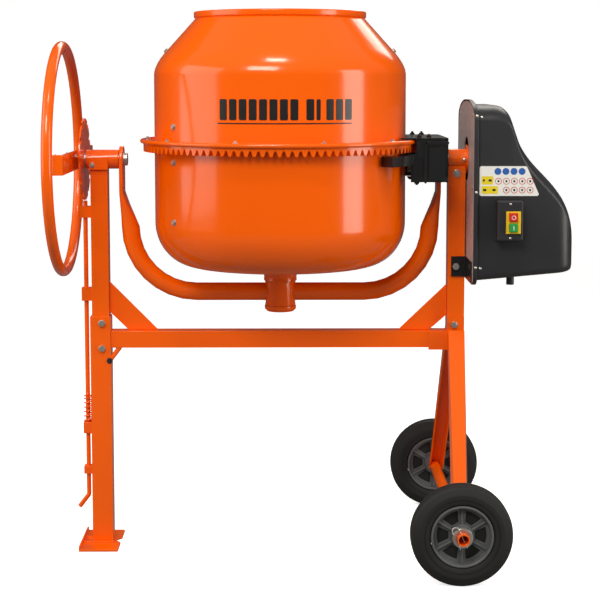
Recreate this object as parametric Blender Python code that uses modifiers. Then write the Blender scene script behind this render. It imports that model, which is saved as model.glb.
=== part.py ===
"""Concrete mixer: a tilting drum on a wheeled stand, with its ring-gear drive and foot lock.

Metres, +Z up. The model stands centred on the origin. Inside this file, places are given from the
drum's axis (X and Y) and from the floor (Z); the mixer_origin empty carries the shift in X.
"""

import math

import bmesh
import bpy
from mathutils import Matrix, Vector

# ---- driving sizes ---------------------------------------------------------------------------
GAP = 0.0003                # between neighbouring solids
TILT_Z = 0.920              # floor to the tilt axis
ROUND = 32                  # sides of a large turned piece
SMALL_ROUND = 20            # sides of a small turned piece
HOLE_ROUND = 10             # sides of a bolt hole

# Drum
DRUM_RADIUS = 0.2935
SHEET = 0.002               # drum wall
MOUTH_RADIUS = 0.2005
MOUTH_RISE = 0.342          # tilt axis up to the lip of the mouth
CONE_RISE = 0.251           # tilt axis up to where the cone meets the shoulder
SHOULDER_RISE = 0.1955      # tilt axis up to the top of the straight wall
BOWL_DROP = 0.145           # tilt axis down to the start of the bowl's corner
BOTTOM_DROP = 0.265         # tilt axis down to the middle of the bowl's outside
FLANGE_WIDTH = 0.034
FLANGE_BEAD = 0.005         # radius of the rolled edge
BLADE_DEPTH = 0.060
BLADE_SHEET = 0.003

# Ring gear and pinion
RING_TEETH = 110
PINION_TEETH = 9
RING_PITCH = DRUM_RADIUS + 0.0165
RING_INNER = DRUM_RADIUS + 0.0050
RING_OUTER = DRUM_RADIUS + 0.0260
RING_BODY = 0.008           # solid iron above the tooth roots
PLAY = 0.0008               # side clearance of a pinion tooth
PRESSURE_TAN = math.tan(math.radians(20))
MODULE = 2 * RING_PITCH / RING_TEETH
PINION_PITCH = MODULE * PINION_TEETH / 2
RING_ADDENDUM = 0.845 * MODULE
RING_DEDENDUM = 1.267 * MODULE
PINION_ADDENDUM = 1.07 * MODULE
RING_TOP = TILT_Z + PINION_PITCH + RING_DEDENDUM + RING_BODY
FLANGE_RADIUS = DRUM_RADIUS + FLANGE_WIDTH

# Yoke, hub and tilt shafts
YOKE_TUBE = 0.0212          # radius
YOKE_BEND = 0.155           # bend radius on the tube's centre line
YOKE_X = FLANGE_RADIUS + 0.044   # middle of the flattened ends
YOKE_DROP = 0.313           # tilt axis down to the tube's centre line
YOKE_FLAT = 0.010           # thickness of a flattened end
YOKE_EYE = 0.031            # radius of its rounded eye
HUB_RADIUS = 0.035
HUB_LENGTH = 0.062
SPINDLE_RADIUS = 0.0175
BEARING_LENGTH = 0.015
LEFT_SHAFT = 0.015          # radius
JOURNAL = 0.019             # outer radius of the hollow right tilt shaft
PINION_SHAFT = 0.0100       # radius
LEFT_HOUSING = LEFT_SHAFT + 0.0075
RIGHT_HOUSING = JOURNAL + 0.005

# Locking disc and handwheel
DISC_RADIUS = 0.096
DISC_SHEET = 0.004
NOTCHES = 12
NOTCH_DEPTH = 0.014
WHEEL_RING = 0.2625         # handwheel, radius of the ring's centre line
RING_TUBE = 0.0125          # handwheel tube, radius
BAR_WIDTH = 0.045
BAR_SHEET = 0.005

# Stand
TUBE = 0.040                # square tube, side
TUBE_WALL = 0.002
BEAM_Z = TILT_Z - 0.425      # middle of the crossbeam
LEG_WALL = 0.003
LEG_WIDTH = TUBE + 2 * LEG_WALL + 0.002
LEG_TOP = BEAM_Z + 0.055
FOOT_WIDTH = 0.092
FOOT_LENGTH = 0.165
FOOT_SHEET = 0.005
AXLE_RADIUS = 0.0135
AXLE_HALF = 0.372
WHEEL_RADIUS = 0.1125
WHEEL_WIDTH = 0.050
WHEEL_TRACK = 0.324         # middle of a wheel from the middle plane
RIM_RADIUS = 0.0690
CLIP_LEAN = math.radians(24)
BOLT = 0.005                # shank radius
HEAD = 0.0085               # bolt head, across corners / 2

# Lock rod
ROD_RADIUS = 0.0055
ROD_LIFT = 0.010            # rest to fully in the notch
ROD_PRESS = 0.012           # rest to fully pressed
SPRING_WIRE = 0.0015
SPRING_RADIUS = 0.0090
SPRING_TURNS = 6

# Drive cover and what it holds
COVER_HALF = 0.153
COVER_EDGE = 0.012          # how far the cover's rim stands out round the edge
COVER_ROUND = 0.035
COVER_SHEET = 0.0025
COVER_RISE = 0.128          # tilt axis up to the cover's top
COVER_DROP = 0.270          # tilt axis down to the cover's bottom
PULLEY_RADIUS = 0.110
MOTOR_PULLEY = 0.0145
MOTOR_DROP = 0.185          # tilt axis down to the motor's axis
MOTOR_RADIUS = 0.062
BELT = 0.004

# ---- places that follow from them ------------------------------------------------------------
LEFT_POST_X = -(YOKE_X + 0.0525)
RIGHT_POST_X = YOKE_X + 0.0425
DISC_X = LEFT_POST_X - TUBE / 2 - 0.015
BAR_X = DISC_X - 0.0155      # middle of the handwheel's crossbar
HANDWHEEL_X = BAR_X - 0.0335
PLATE_X = RIGHT_POST_X + TUBE / 2 + 0.00475  # back plate, middle of its sheet
RIM_X = PLATE_X - 0.00225                    # open edge of the cover's rim
COVER_REACH = 0.2305                         # cover's rim to its far end
AXLE_X = RIGHT_POST_X - 0.016
LEFT_REACH = -HANDWHEEL_X + RING_TUBE
RIGHT_REACH = RIM_X + COVER_REACH
POST_TOP = TILT_Z - LEFT_HOUSING - 0.0008
HUB_TOP = TILT_Z - BOTTOM_DROP - 0.022
PULLEY_X = RIM_X + 0.0375
LEG_X = LEFT_POST_X - 0.0005
DRUM_TURN_AXIS = Vector((0, 0, TILT_Z))

for old in list(bpy.data.objects):
    bpy.data.objects.remove(old)


def collection(name):
    made = bpy.data.collections.new(name)
    bpy.context.scene.collection.children.link(made)
    return made


MODEL = collection("concrete_mixer")
CUTTERS = collection("cutters")
CUTTERS.hide_render = True

# Each moving body hangs from an empty on its joint's axis.
BODY_AT = {
    "frame": (Vector((0, 0, 0)), None),
    "yoke": (DRUM_TURN_AXIS, "frame"),
    "drum": (DRUM_TURN_AXIS, "yoke"),
    "pinion": (Vector((YOKE_X, 0, TILT_Z)), "yoke"),
    "motor": (Vector((PULLEY_X, 0, TILT_Z - MOTOR_DROP)), "frame"),
    "lock": (Vector((DISC_X, 0, TILT_Z - DISC_RADIUS)), "frame"),
    "front_wheel": (Vector((AXLE_X, -WHEEL_TRACK, WHEEL_RADIUS)), "frame"),
    "rear_wheel": (Vector((AXLE_X, WHEEL_TRACK, WHEEL_RADIUS)), "frame"),
    "buttons": (Vector((0, 0, 0)), "frame"),
}
BODIES = {}


def add_bodies():
    origin = bpy.data.objects.new("mixer_origin", None)
    MODEL.objects.link(origin)
    origin.location.x = (LEFT_REACH - RIGHT_REACH) / 2
    for name, (at, parent) in BODY_AT.items():
        empty = bpy.data.objects.new(name + "_axis", None)
        MODEL.objects.link(empty)
        empty.parent = BODIES[parent] if parent else origin
        empty.location = at - (BODY_AT[parent][0] if parent else Vector())
        BODIES[name] = empty


def material(name, colour, roughness, metallic=0.0):
    made = bpy.data.materials.new(name)
    made.use_nodes = True
    shader = made.node_tree.nodes["Principled BSDF"]
    shader.inputs["Base Color"].default_value = (*colour, 1)
    shader.inputs["Roughness"].default_value = roughness
    shader.inputs["Metallic"].default_value = metallic
    made.diffuse_color = (*colour, 1)
    return made


ORANGE = material("orange_paint", (0.80, 0.095, 0.004), 0.30)
BLACK = material("black_plastic", (0.014, 0.014, 0.015), 0.45)
GREY_PLASTIC = material("rim_plastic", (0.09, 0.10, 0.11), 0.50)
RUBBER = material("tyre_rubber", (0.010, 0.011, 0.013), 0.75)
ZINC = material("zinc_steel", (0.58, 0.57, 0.55), 0.32, 1.0)
STEEL = material("machined_steel", (0.42, 0.42, 0.43), 0.35, 1.0)
PLATE_GREY = material("plate_grey", (0.50, 0.51, 0.51), 0.45, 0.4)
BLACK_PAINT = material("black_paint", (0.012, 0.012, 0.012), 0.40)
YELLOW = material("yellow_plastic", (0.80, 0.52, 0.01), 0.40)
RED = material("red_button", (0.55, 0.015, 0.012), 0.35)
GREEN = material("green_button", (0.02, 0.30, 0.05), 0.35)
MOTOR_GREY = material("motor_aluminium", (0.35, 0.36, 0.37), 0.50, 0.8)

# ---- shape helpers ---------------------------------------------------------------------------
TURN = {"X": (0, math.pi / 2, 0), "Y": (-math.pi / 2, 0, 0), "Z": (0, 0, 0)}
PLANE = {"XY": (0, 0, 0), "XZ": (math.pi / 2, 0, 0), "YZ": (math.pi / 2, 0, math.pi / 2)}


def add(name, data, paint, body, at, turn=(0, 0, 0)):
    """Puts data into the scene with its origin at `at`, carried by a body. No paint makes it a cutter."""
    obj = bpy.data.objects.new(name, data)
    (MODEL if paint else CUTTERS).objects.link(obj)
    if paint:
        data.materials.append(paint)
    else:
        obj.hide_render = True
        obj.display_type = "WIRE"
    obj.parent = BODIES[body]
    obj.location = Vector(at) - BODY_AT[body][0]
    obj.rotation_euler = turn
    return obj


def add_bmesh(name, bm, paint, body, at, turn=(0, 0, 0)):
    bmesh.ops.recalc_face_normals(bm, faces=bm.faces)
    mesh = bpy.data.meshes.new(name)
    bm.to_mesh(mesh)
    bm.free()
    return add(name, mesh, paint, body, at, turn)


def box(name, low, high, paint=None, body="frame"):
    """A block between two corners, with its origin at its middle."""
    low, high = Vector(low), Vector(high)
    bm = bmesh.new()
    bmesh.ops.create_cube(bm, size=1, matrix=Matrix.Diagonal((*(high - low), 1)))
    return add_bmesh(name, bm, paint, body, (low + high) / 2)


def rod(name, radius, length, axis, at, paint=None, body="frame", sides=SMALL_ROUND):
    """A plain cylinder with its middle at `at`."""
    bm = bmesh.new()
    bmesh.ops.create_cone(bm, cap_ends=True, segments=sides, radius1=radius, radius2=radius, depth=length)
    return add_bmesh(name, bm, paint, body, at, TURN[axis])


def turned(name, profile, axis, at, paint, body, sides=SMALL_ROUND, closed=True):
    """A turned solid. The profile is (radius, height) pairs that run down its outer side."""
    mesh = bpy.data.meshes.new(name)
    count = len(profile)
    edges = [(i, (i + 1) % count) for i in range(count if closed else count - 1)]
    mesh.from_pydata([(radius, 0, height) for radius, height in profile], edges, [])
    obj = add(name, mesh, paint, body, at, TURN[axis])
    screw = obj.modifiers.new("turn", "SCREW")
    screw.steps = screw.render_steps = sides
    screw.use_merge_vertices = True
    screw.merge_threshold = 0.00001
    screw.use_smooth_shade = True
    return obj


def ring(name, outer, inner, length, axis, at, paint, body, sides=SMALL_ROUND):
    """A plain tube with its middle at `at`."""
    half = length / 2
    profile = [(outer, half), (outer, -half), (inner, -half), (inner, half)]
    return turned(name, profile, axis, at, paint, body, sides)


def flat(name, outlines, thickness, plane, at, paint, body="frame"):
    """A flat piece from closed outlines, holes included, with `at` in the middle of its thickness."""
    curve = bpy.data.curves.new(name, "CURVE")
    curve.dimensions = "2D"
    curve.fill_mode = "BOTH"
    curve.extrude = thickness / 2
    for outline in outlines:
        spline = curve.splines.new("POLY")
        spline.points.add(len(outline) - 1)
        for point, place in zip(spline.points, outline):
            point.co = (*place, 0, 1)
        spline.use_cyclic_u = True
    return add(name, curve, paint, body, at, PLANE[plane])


def wire(name, points, radius, paint, body, at, resolution=2):
    """A round wire or rod along a list of points, given from `at`."""
    curve = bpy.data.curves.new(name, "CURVE")
    curve.dimensions = "3D"
    curve.bevel_depth = radius
    curve.bevel_resolution = resolution
    curve.use_fill_caps = True
    spline = curve.splines.new("POLY")
    spline.points.add(len(points) - 1)
    for point, place in zip(spline.points, points):
        point.co = (*place, 1)
    return add(name, curve, paint, body, at)


def as_mesh(obj):
    """Replaces a curve object by the mesh of its shape, so that it can be cut or joined."""
    bpy.context.view_layer.update()
    evaluated = obj.evaluated_get(bpy.context.evaluated_depsgraph_get())
    bm = bmesh.new()
    bm.from_mesh(bpy.data.meshes.new_from_object(evaluated))
    bmesh.ops.remove_doubles(bm, verts=bm.verts, dist=0.000005)
    bmesh.ops.recalc_face_normals(bm, faces=bm.faces)
    name, matrix, parent, home = obj.name, obj.matrix_world.copy(), obj.parent, obj.users_collection[0]
    paint = obj.data.materials[0] if obj.data.materials else None
    bpy.data.objects.remove(obj)
    mesh = bpy.data.meshes.new(name)
    bm.to_mesh(mesh)
    bm.free()
    mesh.materials.clear()
    if paint:
        mesh.materials.append(paint)
    made = bpy.data.objects.new(name, mesh)
    home.objects.link(made)
    made.parent = parent
    made.matrix_world = matrix
    return made


def boolean(obj, other, operation="DIFFERENCE"):
    modifier = obj.modifiers.new(operation.lower(), "BOOLEAN")
    modifier.operation = operation
    modifier.object = other
    return obj


def drill(obj, radius, length, axis, at, body="frame"):
    sides = SMALL_ROUND if radius > 0.01 else HOLE_ROUND
    return boolean(obj, rod(obj.name + "_hole", radius, length, axis, at, None, body, sides))


def loft(name, rings, paint, body, at, open_end=False):
    """A skin through rings of points that all have the same count, closed by its end rings."""
    bm = bmesh.new()
    rows = [[bm.verts.new(Vector(point) - Vector(at)) for point in ring_points] for ring_points in rings]
    count = len(rows[0])
    for lower, upper in zip(rows, rows[1:]):
        for i in range(count):
            j = (i + 1) % count
            bm.faces.new((lower[i], lower[j], upper[j], upper[i]))
    bm.faces.new(rows[-1])
    if not open_end:
        bm.faces.new(rows[0])
    return add_bmesh(name, bm, paint, body, at)


def circle(radius, count=SMALL_ROUND, centre=(0, 0), start=0.0):
    step = 2 * math.pi / count
    return [
        (centre[0] + radius * math.cos(start + i * step), centre[1] + radius * math.sin(start + i * step))
        for i in range(count)
    ]


def arc(centre, radius, start, end, steps):
    """Points of an arc, in degrees, both ends included."""
    angles = [math.radians(start + (end - start) * i / steps) for i in range(steps + 1)]
    return [(centre[0] + radius * math.cos(a), centre[1] + radius * math.sin(a)) for a in angles]


def square(side):
    half = side / 2
    return [(-half, -half), (half, -half), (half, half), (-half, half)]


def hexagon_bolt(name, at, axis, shank, paint=ZINC, body="frame", outward=-1):
    """A bolt whose head sits on a face at `at` and whose shank runs inward from it."""
    head_height = 0.006
    profile = [(0, head_height), (HEAD, head_height), (HEAD, 0), (BOLT, 0), (BOLT, -shank), (0, -shank)]
    if outward < 0:
        profile = [(radius, -height) for radius, height in reversed(profile)]
    return turned(name, profile, axis, at, paint, body, sides=6, closed=False)


# ---- drum ------------------------------------------------------------------------------------
FLANGE_RISE = RING_TOP - TILT_Z + 2 * GAP + SHEET    # underside of the upper flange


def shoulder(inset):
    """The drum's rounded shoulder, from the cone down to the straight wall."""
    low = Vector((DRUM_RADIUS - inset, SHOULDER_RISE))
    high = Vector((DRUM_RADIUS - 0.0285 - 0.7 * inset, CONE_RISE - 0.6 * inset))
    bend = Vector((DRUM_RADIUS - inset, SHOULDER_RISE + 0.024))
    steps = [i / 4 for i in range(5)]
    return [tuple(high * (1 - t) ** 2 + bend * 2 * t * (1 - t) + low * t * t) for t in steps]


def bowl(inset):
    """The rounded corner and shallow dome under the straight wall, down to the axis."""
    wide, deep = DRUM_RADIUS - 0.200 - inset, BOTTOM_DROP - BOWL_DROP - 0.017 - inset
    corner = [
        (0.200 + wide * math.cos(math.radians(a)), -BOWL_DROP - deep * math.sin(math.radians(a)))
        for a in range(0, 91, 18)
    ]
    floor = -BOTTOM_DROP + inset
    return corner + [(0.120, floor + 0.0058), (0.045, floor + 0.0003), (0, floor)]


def upper_profile():
    lip = MOUTH_RADIUS - 0.0035
    outside = [(lip - 0.004, MOUTH_RISE), (MOUTH_RADIUS - 0.001, MOUTH_RISE)]
    outside += [(MOUTH_RADIUS, MOUTH_RISE - 0.002), (MOUTH_RADIUS, MOUTH_RISE - 0.011), (lip, MOUTH_RISE - 0.014)]
    outside += shoulder(0)
    top, low = FLANGE_RISE + SHEET, FLANGE_RISE
    edge = FLANGE_RADIUS - FLANGE_BEAD - 0.0003
    outside += [(DRUM_RADIUS, top + 0.003), (DRUM_RADIUS + 0.003, top), (edge, top)]
    outside += arc((edge, low + 0.001), FLANGE_BEAD, 90, -90, 4)
    outside += [(edge, low)]
    inside = [(DRUM_RADIUS - SHEET, low)] + shoulder(SHEET)[::-1]
    inside += [(lip - SHEET, MOUTH_RISE - 0.015)]
    return outside + inside


def lower_profile():
    high, low = FLANGE_RISE - GAP, FLANGE_RISE - GAP - SHEET
    edge = FLANGE_RADIUS - FLANGE_BEAD - 0.001
    inside = bowl(SHEET)[::-1]
    outside = [(DRUM_RADIUS - SHEET, high), (edge, high), (edge, low), (DRUM_RADIUS + 0.002, low)]
    return inside + outside + [(DRUM_RADIUS, low - 0.002)] + bowl(0)


def inner_radius(height):
    """How far a blade may reach at a height above the tilt axis, inside the drum's flat sides."""
    wall = [(MOUTH_RADIUS - 0.0055, MOUTH_RISE - 0.015)] + shoulder(SHEET)
    wall += [(DRUM_RADIUS - SHEET, 0)] + bowl(SHEET)
    reach = wall[-1][0]
    for (r1, z1), (r2, z2) in zip(wall, wall[1:]):
        if z2 <= height <= z1:
            reach = r1 + (r2 - r1) * (height - z1) / (z2 - z1)
            break
    return reach * math.cos(math.pi / ROUND) - 0.0008


def add_blade(name, side):
    """A bent strip with a foot along the drum's wall, twisting as it goes down."""
    rings = []
    count = 15
    for i in range(count):
        height = 0.262 - 0.420 * i / (count - 1)
        angle = math.radians(90 - 149 * i / (count - 1)) if side > 0 else math.radians(
            270 - 149 * i / (count - 1)
        )
        reach = inner_radius(height)
        depth = BLADE_DEPTH * (0.45 + 0.55 * math.sin(math.pi * i / (count - 1)))
        out = Vector((math.sin(angle), -math.cos(angle), 0))
        across = Vector((math.cos(angle), math.sin(angle), 0))
        section = [(0, 0), (0, 0.020), (-BLADE_SHEET, 0.020), (-BLADE_SHEET, BLADE_SHEET)]
        section += [(-depth, BLADE_SHEET), (-depth, 0)]
        middle = Vector((0, 0, TILT_Z + height))
        ring_points = []
        for inward, aside in section:
            if aside > 0.01:
                inward -= aside * aside / (2 * reach)
            ring_points.append(middle + out * (reach + inward) + across * aside)
        rings.append(ring_points)
    return loft(name, rings, STEEL_DARK, "drum", (0, 0, TILT_Z))


def space_half(height):
    """Half the gap between two ring teeth, at a height above the pinion's axis."""
    return math.pi * MODULE / 4 - (height - PINION_PITCH) * PRESSURE_TAN


def add_ring_gear(name, start):
    """Half of the iron ring: its teeth hang under the drum's flange."""
    rings = []
    pitch = 2 * math.pi / RING_TEETH
    root, tip = PINION_PITCH + RING_DEDENDUM, PINION_PITCH - RING_ADDENDUM
    joint = 0.0003 / RING_OUTER
    stations = [(joint, root)]
    for tooth in range(RING_TEETH // 2):
        middle = (tooth + 0.5) * pitch
        for height, sign in ((root, -1), (tip, -1), (tip, 1), (root, 1)):
            half = pitch / 2 - space_half(height) / RING_PITCH
            stations.append((middle + sign * half, height))
    stations.append((math.pi - joint, root))
    for turn, height in stations:
        out = Vector((math.cos(start + turn), math.sin(start + turn), 0))
        low, high = Vector((0, 0, TILT_Z + height)), Vector((0, 0, RING_TOP))
        rings.append([
            out * RING_INNER + low, out * RING_OUTER + low,
            out * RING_OUTER + high, out * RING_INNER + high,
        ])
    return loft(name, rings, ORANGE, "drum", (0, 0, TILT_Z))


def tooth_half_angle(radius):
    """The widest a pinion tooth may be at a radius, as it rolls through a ring tooth space."""
    lowest = PINION_PITCH - RING_ADDENDUM
    widest = math.pi / PINION_TEETH * 0.80
    for i in range(-60, 61):
        turn = math.radians(i)
        height = radius * math.cos(turn)
        if height >= lowest:
            room = space_half(height) - PLAY - radius * math.sin(turn) + PINION_PITCH * turn
            widest = min(widest, room / PINION_PITCH)
    return widest


def add_pinion(x_low, x_high):
    root = PINION_PITCH - RING_ADDENDUM - 0.0012
    tip = PINION_PITCH + PINION_ADDENDUM
    radii = [root + (tip - root) * i / 4 for i in range(5)]
    outline = []
    for tooth in range(PINION_TEETH):
        middle = math.pi / 2 + 2 * math.pi * tooth / PINION_TEETH
        for sign, run in ((-1, radii), (1, radii[::-1])):
            for radius in run:
                angle = middle + sign * max(tooth_half_angle(radius), 0.02)
                outline.append((radius * math.cos(angle), radius * math.sin(angle)))
    at = ((x_low + x_high) / 2, 0, TILT_Z)
    bore = circle(PINION_SHAFT + GAP)
    return flat("pinion", [outline, bore], x_high - x_low, "YZ", at, IRON, "pinion")


def add_drum():
    at = (0, 0, TILT_Z)
    turned("upper_drum", upper_profile(), "Z", at, ORANGE, "drum", ROUND)
    turned("lower_drum", lower_profile(), "Z", at, ORANGE, "drum", ROUND, closed=False)
    top, low = -BOTTOM_DROP - 0.0005, HUB_TOP - TILT_Z + 0.0005
    profile = [(0, top), (0.038, top), (0.038, low), (SPINDLE_RADIUS, low)]
    profile += [(SPINDLE_RADIUS, low - 0.055), (0, low - 0.055)]
    turned("drum_spindle", profile, "Z", at, STEEL, "drum", closed=False)
    # The joints of the halves are at the sides, in the middle of a tooth space.
    add_ring_gear("ring_gear_front", -math.pi)
    add_ring_gear("ring_gear_rear", 0)
    add_blade("mixing_blade_left", -1)
    add_blade("mixing_blade_right", 1)


def add_pinion_body():
    start, end = DRUM_RADIUS + 0.003, PULLEY_X + 0.026
    rod("pinion_shaft", PINION_SHAFT, end - start, "X", ((start + end) / 2, 0, TILT_Z), STEEL, "pinion")
    add_pinion(RING_INNER + 0.0015, RING_OUTER - 0.0005)
    bore = PINION_SHAFT + GAP
    profile = [(PULLEY_RADIUS + 0.003, 0.012), (PULLEY_RADIUS, 0.0085), (PULLEY_RADIUS, -0.0085)]
    profile += [(PULLEY_RADIUS + 0.003, -0.012), (PULLEY_RADIUS - 0.008, -0.012)]
    profile += [(PULLEY_RADIUS - 0.010, -0.003), (0.022, -0.003), (0.020, -0.012)]
    profile += [(bore, -0.012), (bore, 0.012), (0.020, 0.012), (0.022, 0.003)]
    profile += [(PULLEY_RADIUS - 0.010, 0.003), (PULLEY_RADIUS - 0.008, 0.012)]
    turned("large_pulley", profile, "X", (PULLEY_X, 0, TILT_Z), BLACK, "pinion", 24)


# ---- yoke ------------------------------------------------------------------------------------
def yoke_section(middle, across, half_thick, half_wide, square_up):
    """Sixteen points round the arm: from a round tube to a flat strip as square_up falls from 1."""
    points = []
    for i in range(16):
        angle = math.radians(22.5 * i)
        c, s = math.cos(angle), math.sin(angle)
        x = half_thick * math.copysign(abs(c) ** square_up, c)
        y = half_wide * math.copysign(abs(s) ** square_up, s)
        points.append(middle + across * x + Vector((0, y, 0)))
    return points


def add_yoke_arm(name, side, bore):
    """A tube that comes out of the hub, bends up round the drum and is flattened at the tilt shaft."""
    base = TILT_Z - YOKE_DROP
    tube_x = YOKE_X - 0.019
    centre = Vector((tube_x - YOKE_BEND, 0, base + YOKE_BEND))
    rings = []
    for x in (0.020, tube_x - YOKE_BEND):
        rings.append(yoke_section(Vector((x, 0, base)), Vector((0, 0, 1)), YOKE_TUBE, YOKE_TUBE, 1))
    for step in range(1, 9):
        angle = math.radians(90 * step / 8)
        out = Vector((math.sin(angle), 0, -math.cos(angle)))
        rings.append(yoke_section(centre + out * YOKE_BEND, -out, YOKE_TUBE, YOKE_TUBE, 1))
    inward = Vector((-1, 0, 0))
    for share, shape, drop in ((0.30, 0.85, 0.133), (0.65, 0.60, 0.107), (1.0, 0.30, 0.076)):
        middle = Vector((tube_x + (YOKE_X - tube_x) * share, 0, TILT_Z - drop))
        thick = YOKE_TUBE + (YOKE_FLAT / 2 - YOKE_TUBE) * share
        wide = YOKE_TUBE + (YOKE_EYE - YOKE_TUBE) * share
        rings.append(yoke_section(middle, inward, thick, wide, shape))
    for angle in (0, 30, 52, 70, 84):
        wide, rise = YOKE_EYE * math.cos(math.radians(angle)), YOKE_EYE * math.sin(math.radians(angle))
        middle = Vector((YOKE_X, 0, TILT_Z + rise))
        rings.append(yoke_section(middle, inward, YOKE_FLAT / 2, wide, 0.30))
    rings = [[Vector((side * p.x, p.y, p.z)) for p in points] for points in rings]
    arm = loft(name, rings, ORANGE, "yoke", (0, 0, TILT_Z))
    drill(arm, HUB_RADIUS + GAP, 0.08, "Z", (0, 0, base), "yoke")
    eye = rod(name + "_eye", bore + GAP, 0.03, "X", (side * YOKE_X, 0, TILT_Z), body="yoke")
    return boolean(arm, eye)


def add_hub():
    middle = HUB_TOP - TILT_Z
    low = middle - HUB_LENGTH + 0.0035
    profile = [(HUB_RADIUS, middle), (HUB_RADIUS, low), (HUB_RADIUS - 0.0088, low)]
    profile += [(HUB_RADIUS - 0.0088, middle)]
    turned("drum_hub_housing", profile, "Z", (0, 0, TILT_Z), ORANGE, "yoke")
    bearing_at = (0, 0, HUB_TOP - BEARING_LENGTH / 2 - 0.004)
    outer = HUB_RADIUS - 0.0088 - GAP
    ring("hub_bearing", outer, SPINDLE_RADIUS + GAP, BEARING_LENGTH, "Z", bearing_at, STEEL, "yoke")
    cap = low - GAP
    profile = [(0, cap), (HUB_RADIUS + 0.0022, cap), (HUB_RADIUS + 0.0022, cap - 0.008)]
    profile += [(HUB_RADIUS - 0.003, cap - 0.0135), (0, cap - 0.0135)]
    turned("hub_cap", profile, "Z", (0, 0, TILT_Z), ORANGE, "yoke", closed=False)


def add_handwheel():
    outline = []
    for notch in range(NOTCHES):
        middle = -math.pi / 2 + notch * 2 * math.pi / NOTCHES
        half = 0.00675 / DISC_RADIUS
        low = DISC_RADIUS - NOTCH_DEPTH
        for turn, radius in ((-half, DISC_RADIUS), (-half * 1.17, low), (half * 1.17, low), (half, DISC_RADIUS)):
            outline.append((radius * math.cos(middle + turn), radius * math.sin(middle + turn)))
        for step in range(1, 4):
            angle = middle + step * math.pi / NOTCHES / 2
            outline.append((DISC_RADIUS * math.cos(angle), DISC_RADIUS * math.sin(angle)))
    shaft_hole = circle(LEFT_SHAFT + GAP)
    at = (DISC_X, 0, TILT_Z)
    flat("locking_disc", [outline, shaft_hole], DISC_SHEET, "YZ", at, ORANGE, "yoke")
    start = -(DISC_X - DISC_SHEET / 2 - GAP)
    end = -(BAR_X + BAR_SHEET / 2 + GAP)
    bore = LEFT_SHAFT + GAP
    profile = [(0.071, -start), (0.071, -start - 0.004), (0.024, -start - 0.004), (0.024, -end)]
    profile += [(bore, -end), (bore, -start)]
    turned("handwheel_hub", profile, "X", (0, 0, TILT_Z), ORANGE, "yoke", 24)
    add_crossbar()
    bm = bmesh.new()
    bmesh.ops.create_circle(
        bm, segments=10, radius=RING_TUBE,
        matrix=Matrix.Translation((WHEEL_RING, 0, 0)) @ Matrix.Rotation(math.pi / 2, 4, "X"),
    )
    bmesh.ops.spin(
        bm, geom=bm.edges[:], cent=(0, 0, 0), axis=(0, 0, 1), angle=2 * math.pi, steps=40, use_merge=True
    )
    bmesh.ops.remove_doubles(bm, verts=bm.verts, dist=0.00001)
    at = (HANDWHEEL_X, 0, TILT_Z)
    add_bmesh("handwheel_rim", bm, ORANGE, "yoke", at, TURN["X"])


def add_crossbar():
    """A flat bar across the handwheel, its ends bent out to the ring's tube."""
    near, far = BAR_X + BAR_SHEET / 2, BAR_X - BAR_SHEET / 2
    tip = HANDWHEEL_X + RING_TUBE + 2 * GAP
    half, bend = WHEEL_RING + 0.0025, 0.006
    right = [(near, half - bend), (near - 0.0018, half - 0.0018), (near - bend, half), (tip, half)]
    right += [(tip, half - BAR_SHEET), (far - 0.001, half - BAR_SHEET), (far, half - BAR_SHEET - 0.001)]
    outline = right + [(x, -y) for x, y in reversed(right)]
    outline = [(x - BAR_X, y) for x, y in outline]
    at = (BAR_X, 0, TILT_Z)
    bar = as_mesh(flat("handwheel_crossbar", [outline], BAR_WIDTH, "XY", at, ORANGE, "yoke"))
    return drill(bar, LEFT_SHAFT + GAP, 0.03, "X", at, "yoke")


def add_guard():
    """The pinion's cover: a box open below and toward the drum, with a curved jaw at each end."""
    high, low = FLANGE_RISE + TILT_Z + 0.0109, TILT_Z - 0.047
    wall, half = 0.003, 0.120
    right = YOKE_X + 0.0115
    left = FLANGE_RADIUS - 0.0295
    reach = math.sqrt((RING_INNER + 0.001) ** 2 - half ** 2) - 0.004
    guard = box("pinion_guard", (reach, -half, low), (right, half, high), BLACK_PAINT, "yoke")
    inside = box(
        "guard_inside", (reach - 0.01, wall - half, low - 0.01), (right - wall, half - wall, high - wall),
        body="yoke",
    )
    boolean(guard, inside)
    begin = math.degrees(math.asin((half - 0.008) / FLANGE_RADIUS))
    for side in (-1, 1):
        sector = arc((0, 0), FLANGE_RADIUS - 0.0005, begin, begin + 20, 6)
        sector += arc((0, 0), RING_INNER - 0.002, begin + 20, begin, 6)
        if side < 0:
            sector = [(x, -y) for x, y in reversed(sector)]
        middle = (0, 0, TILT_Z + 0.00325)
        jaw = as_mesh(flat(f"guard_jaw_{side}", [sector], 0.0225, "XY", middle, None, "yoke"))
        boolean(guard, jaw, "UNION")
    slot = box(
        "guard_slot", (reach - 0.01, -half - 0.01, TILT_Z + 0.017),
        (left + 0.0115, half + 0.01, FLANGE_RISE + TILT_Z + 0.0074), body="yoke",
    )
    boolean(guard, slot)
    below = box("guard_below", (reach - 0.01, -half - 0.01, low - 0.01), (left, half + 0.01, TILT_Z - 0.010),
                body="yoke")
    boolean(guard, below)
    lid_at = (0, 0, high)
    boolean(guard, rod("guard_lid_gap", RING_INNER + 0.001, 0.012, "Z", lid_at, body="yoke", sides=64))
    drill(guard, JOURNAL + 0.0005, 0.02, "X", (right, 0, TILT_Z), "yoke")


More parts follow.
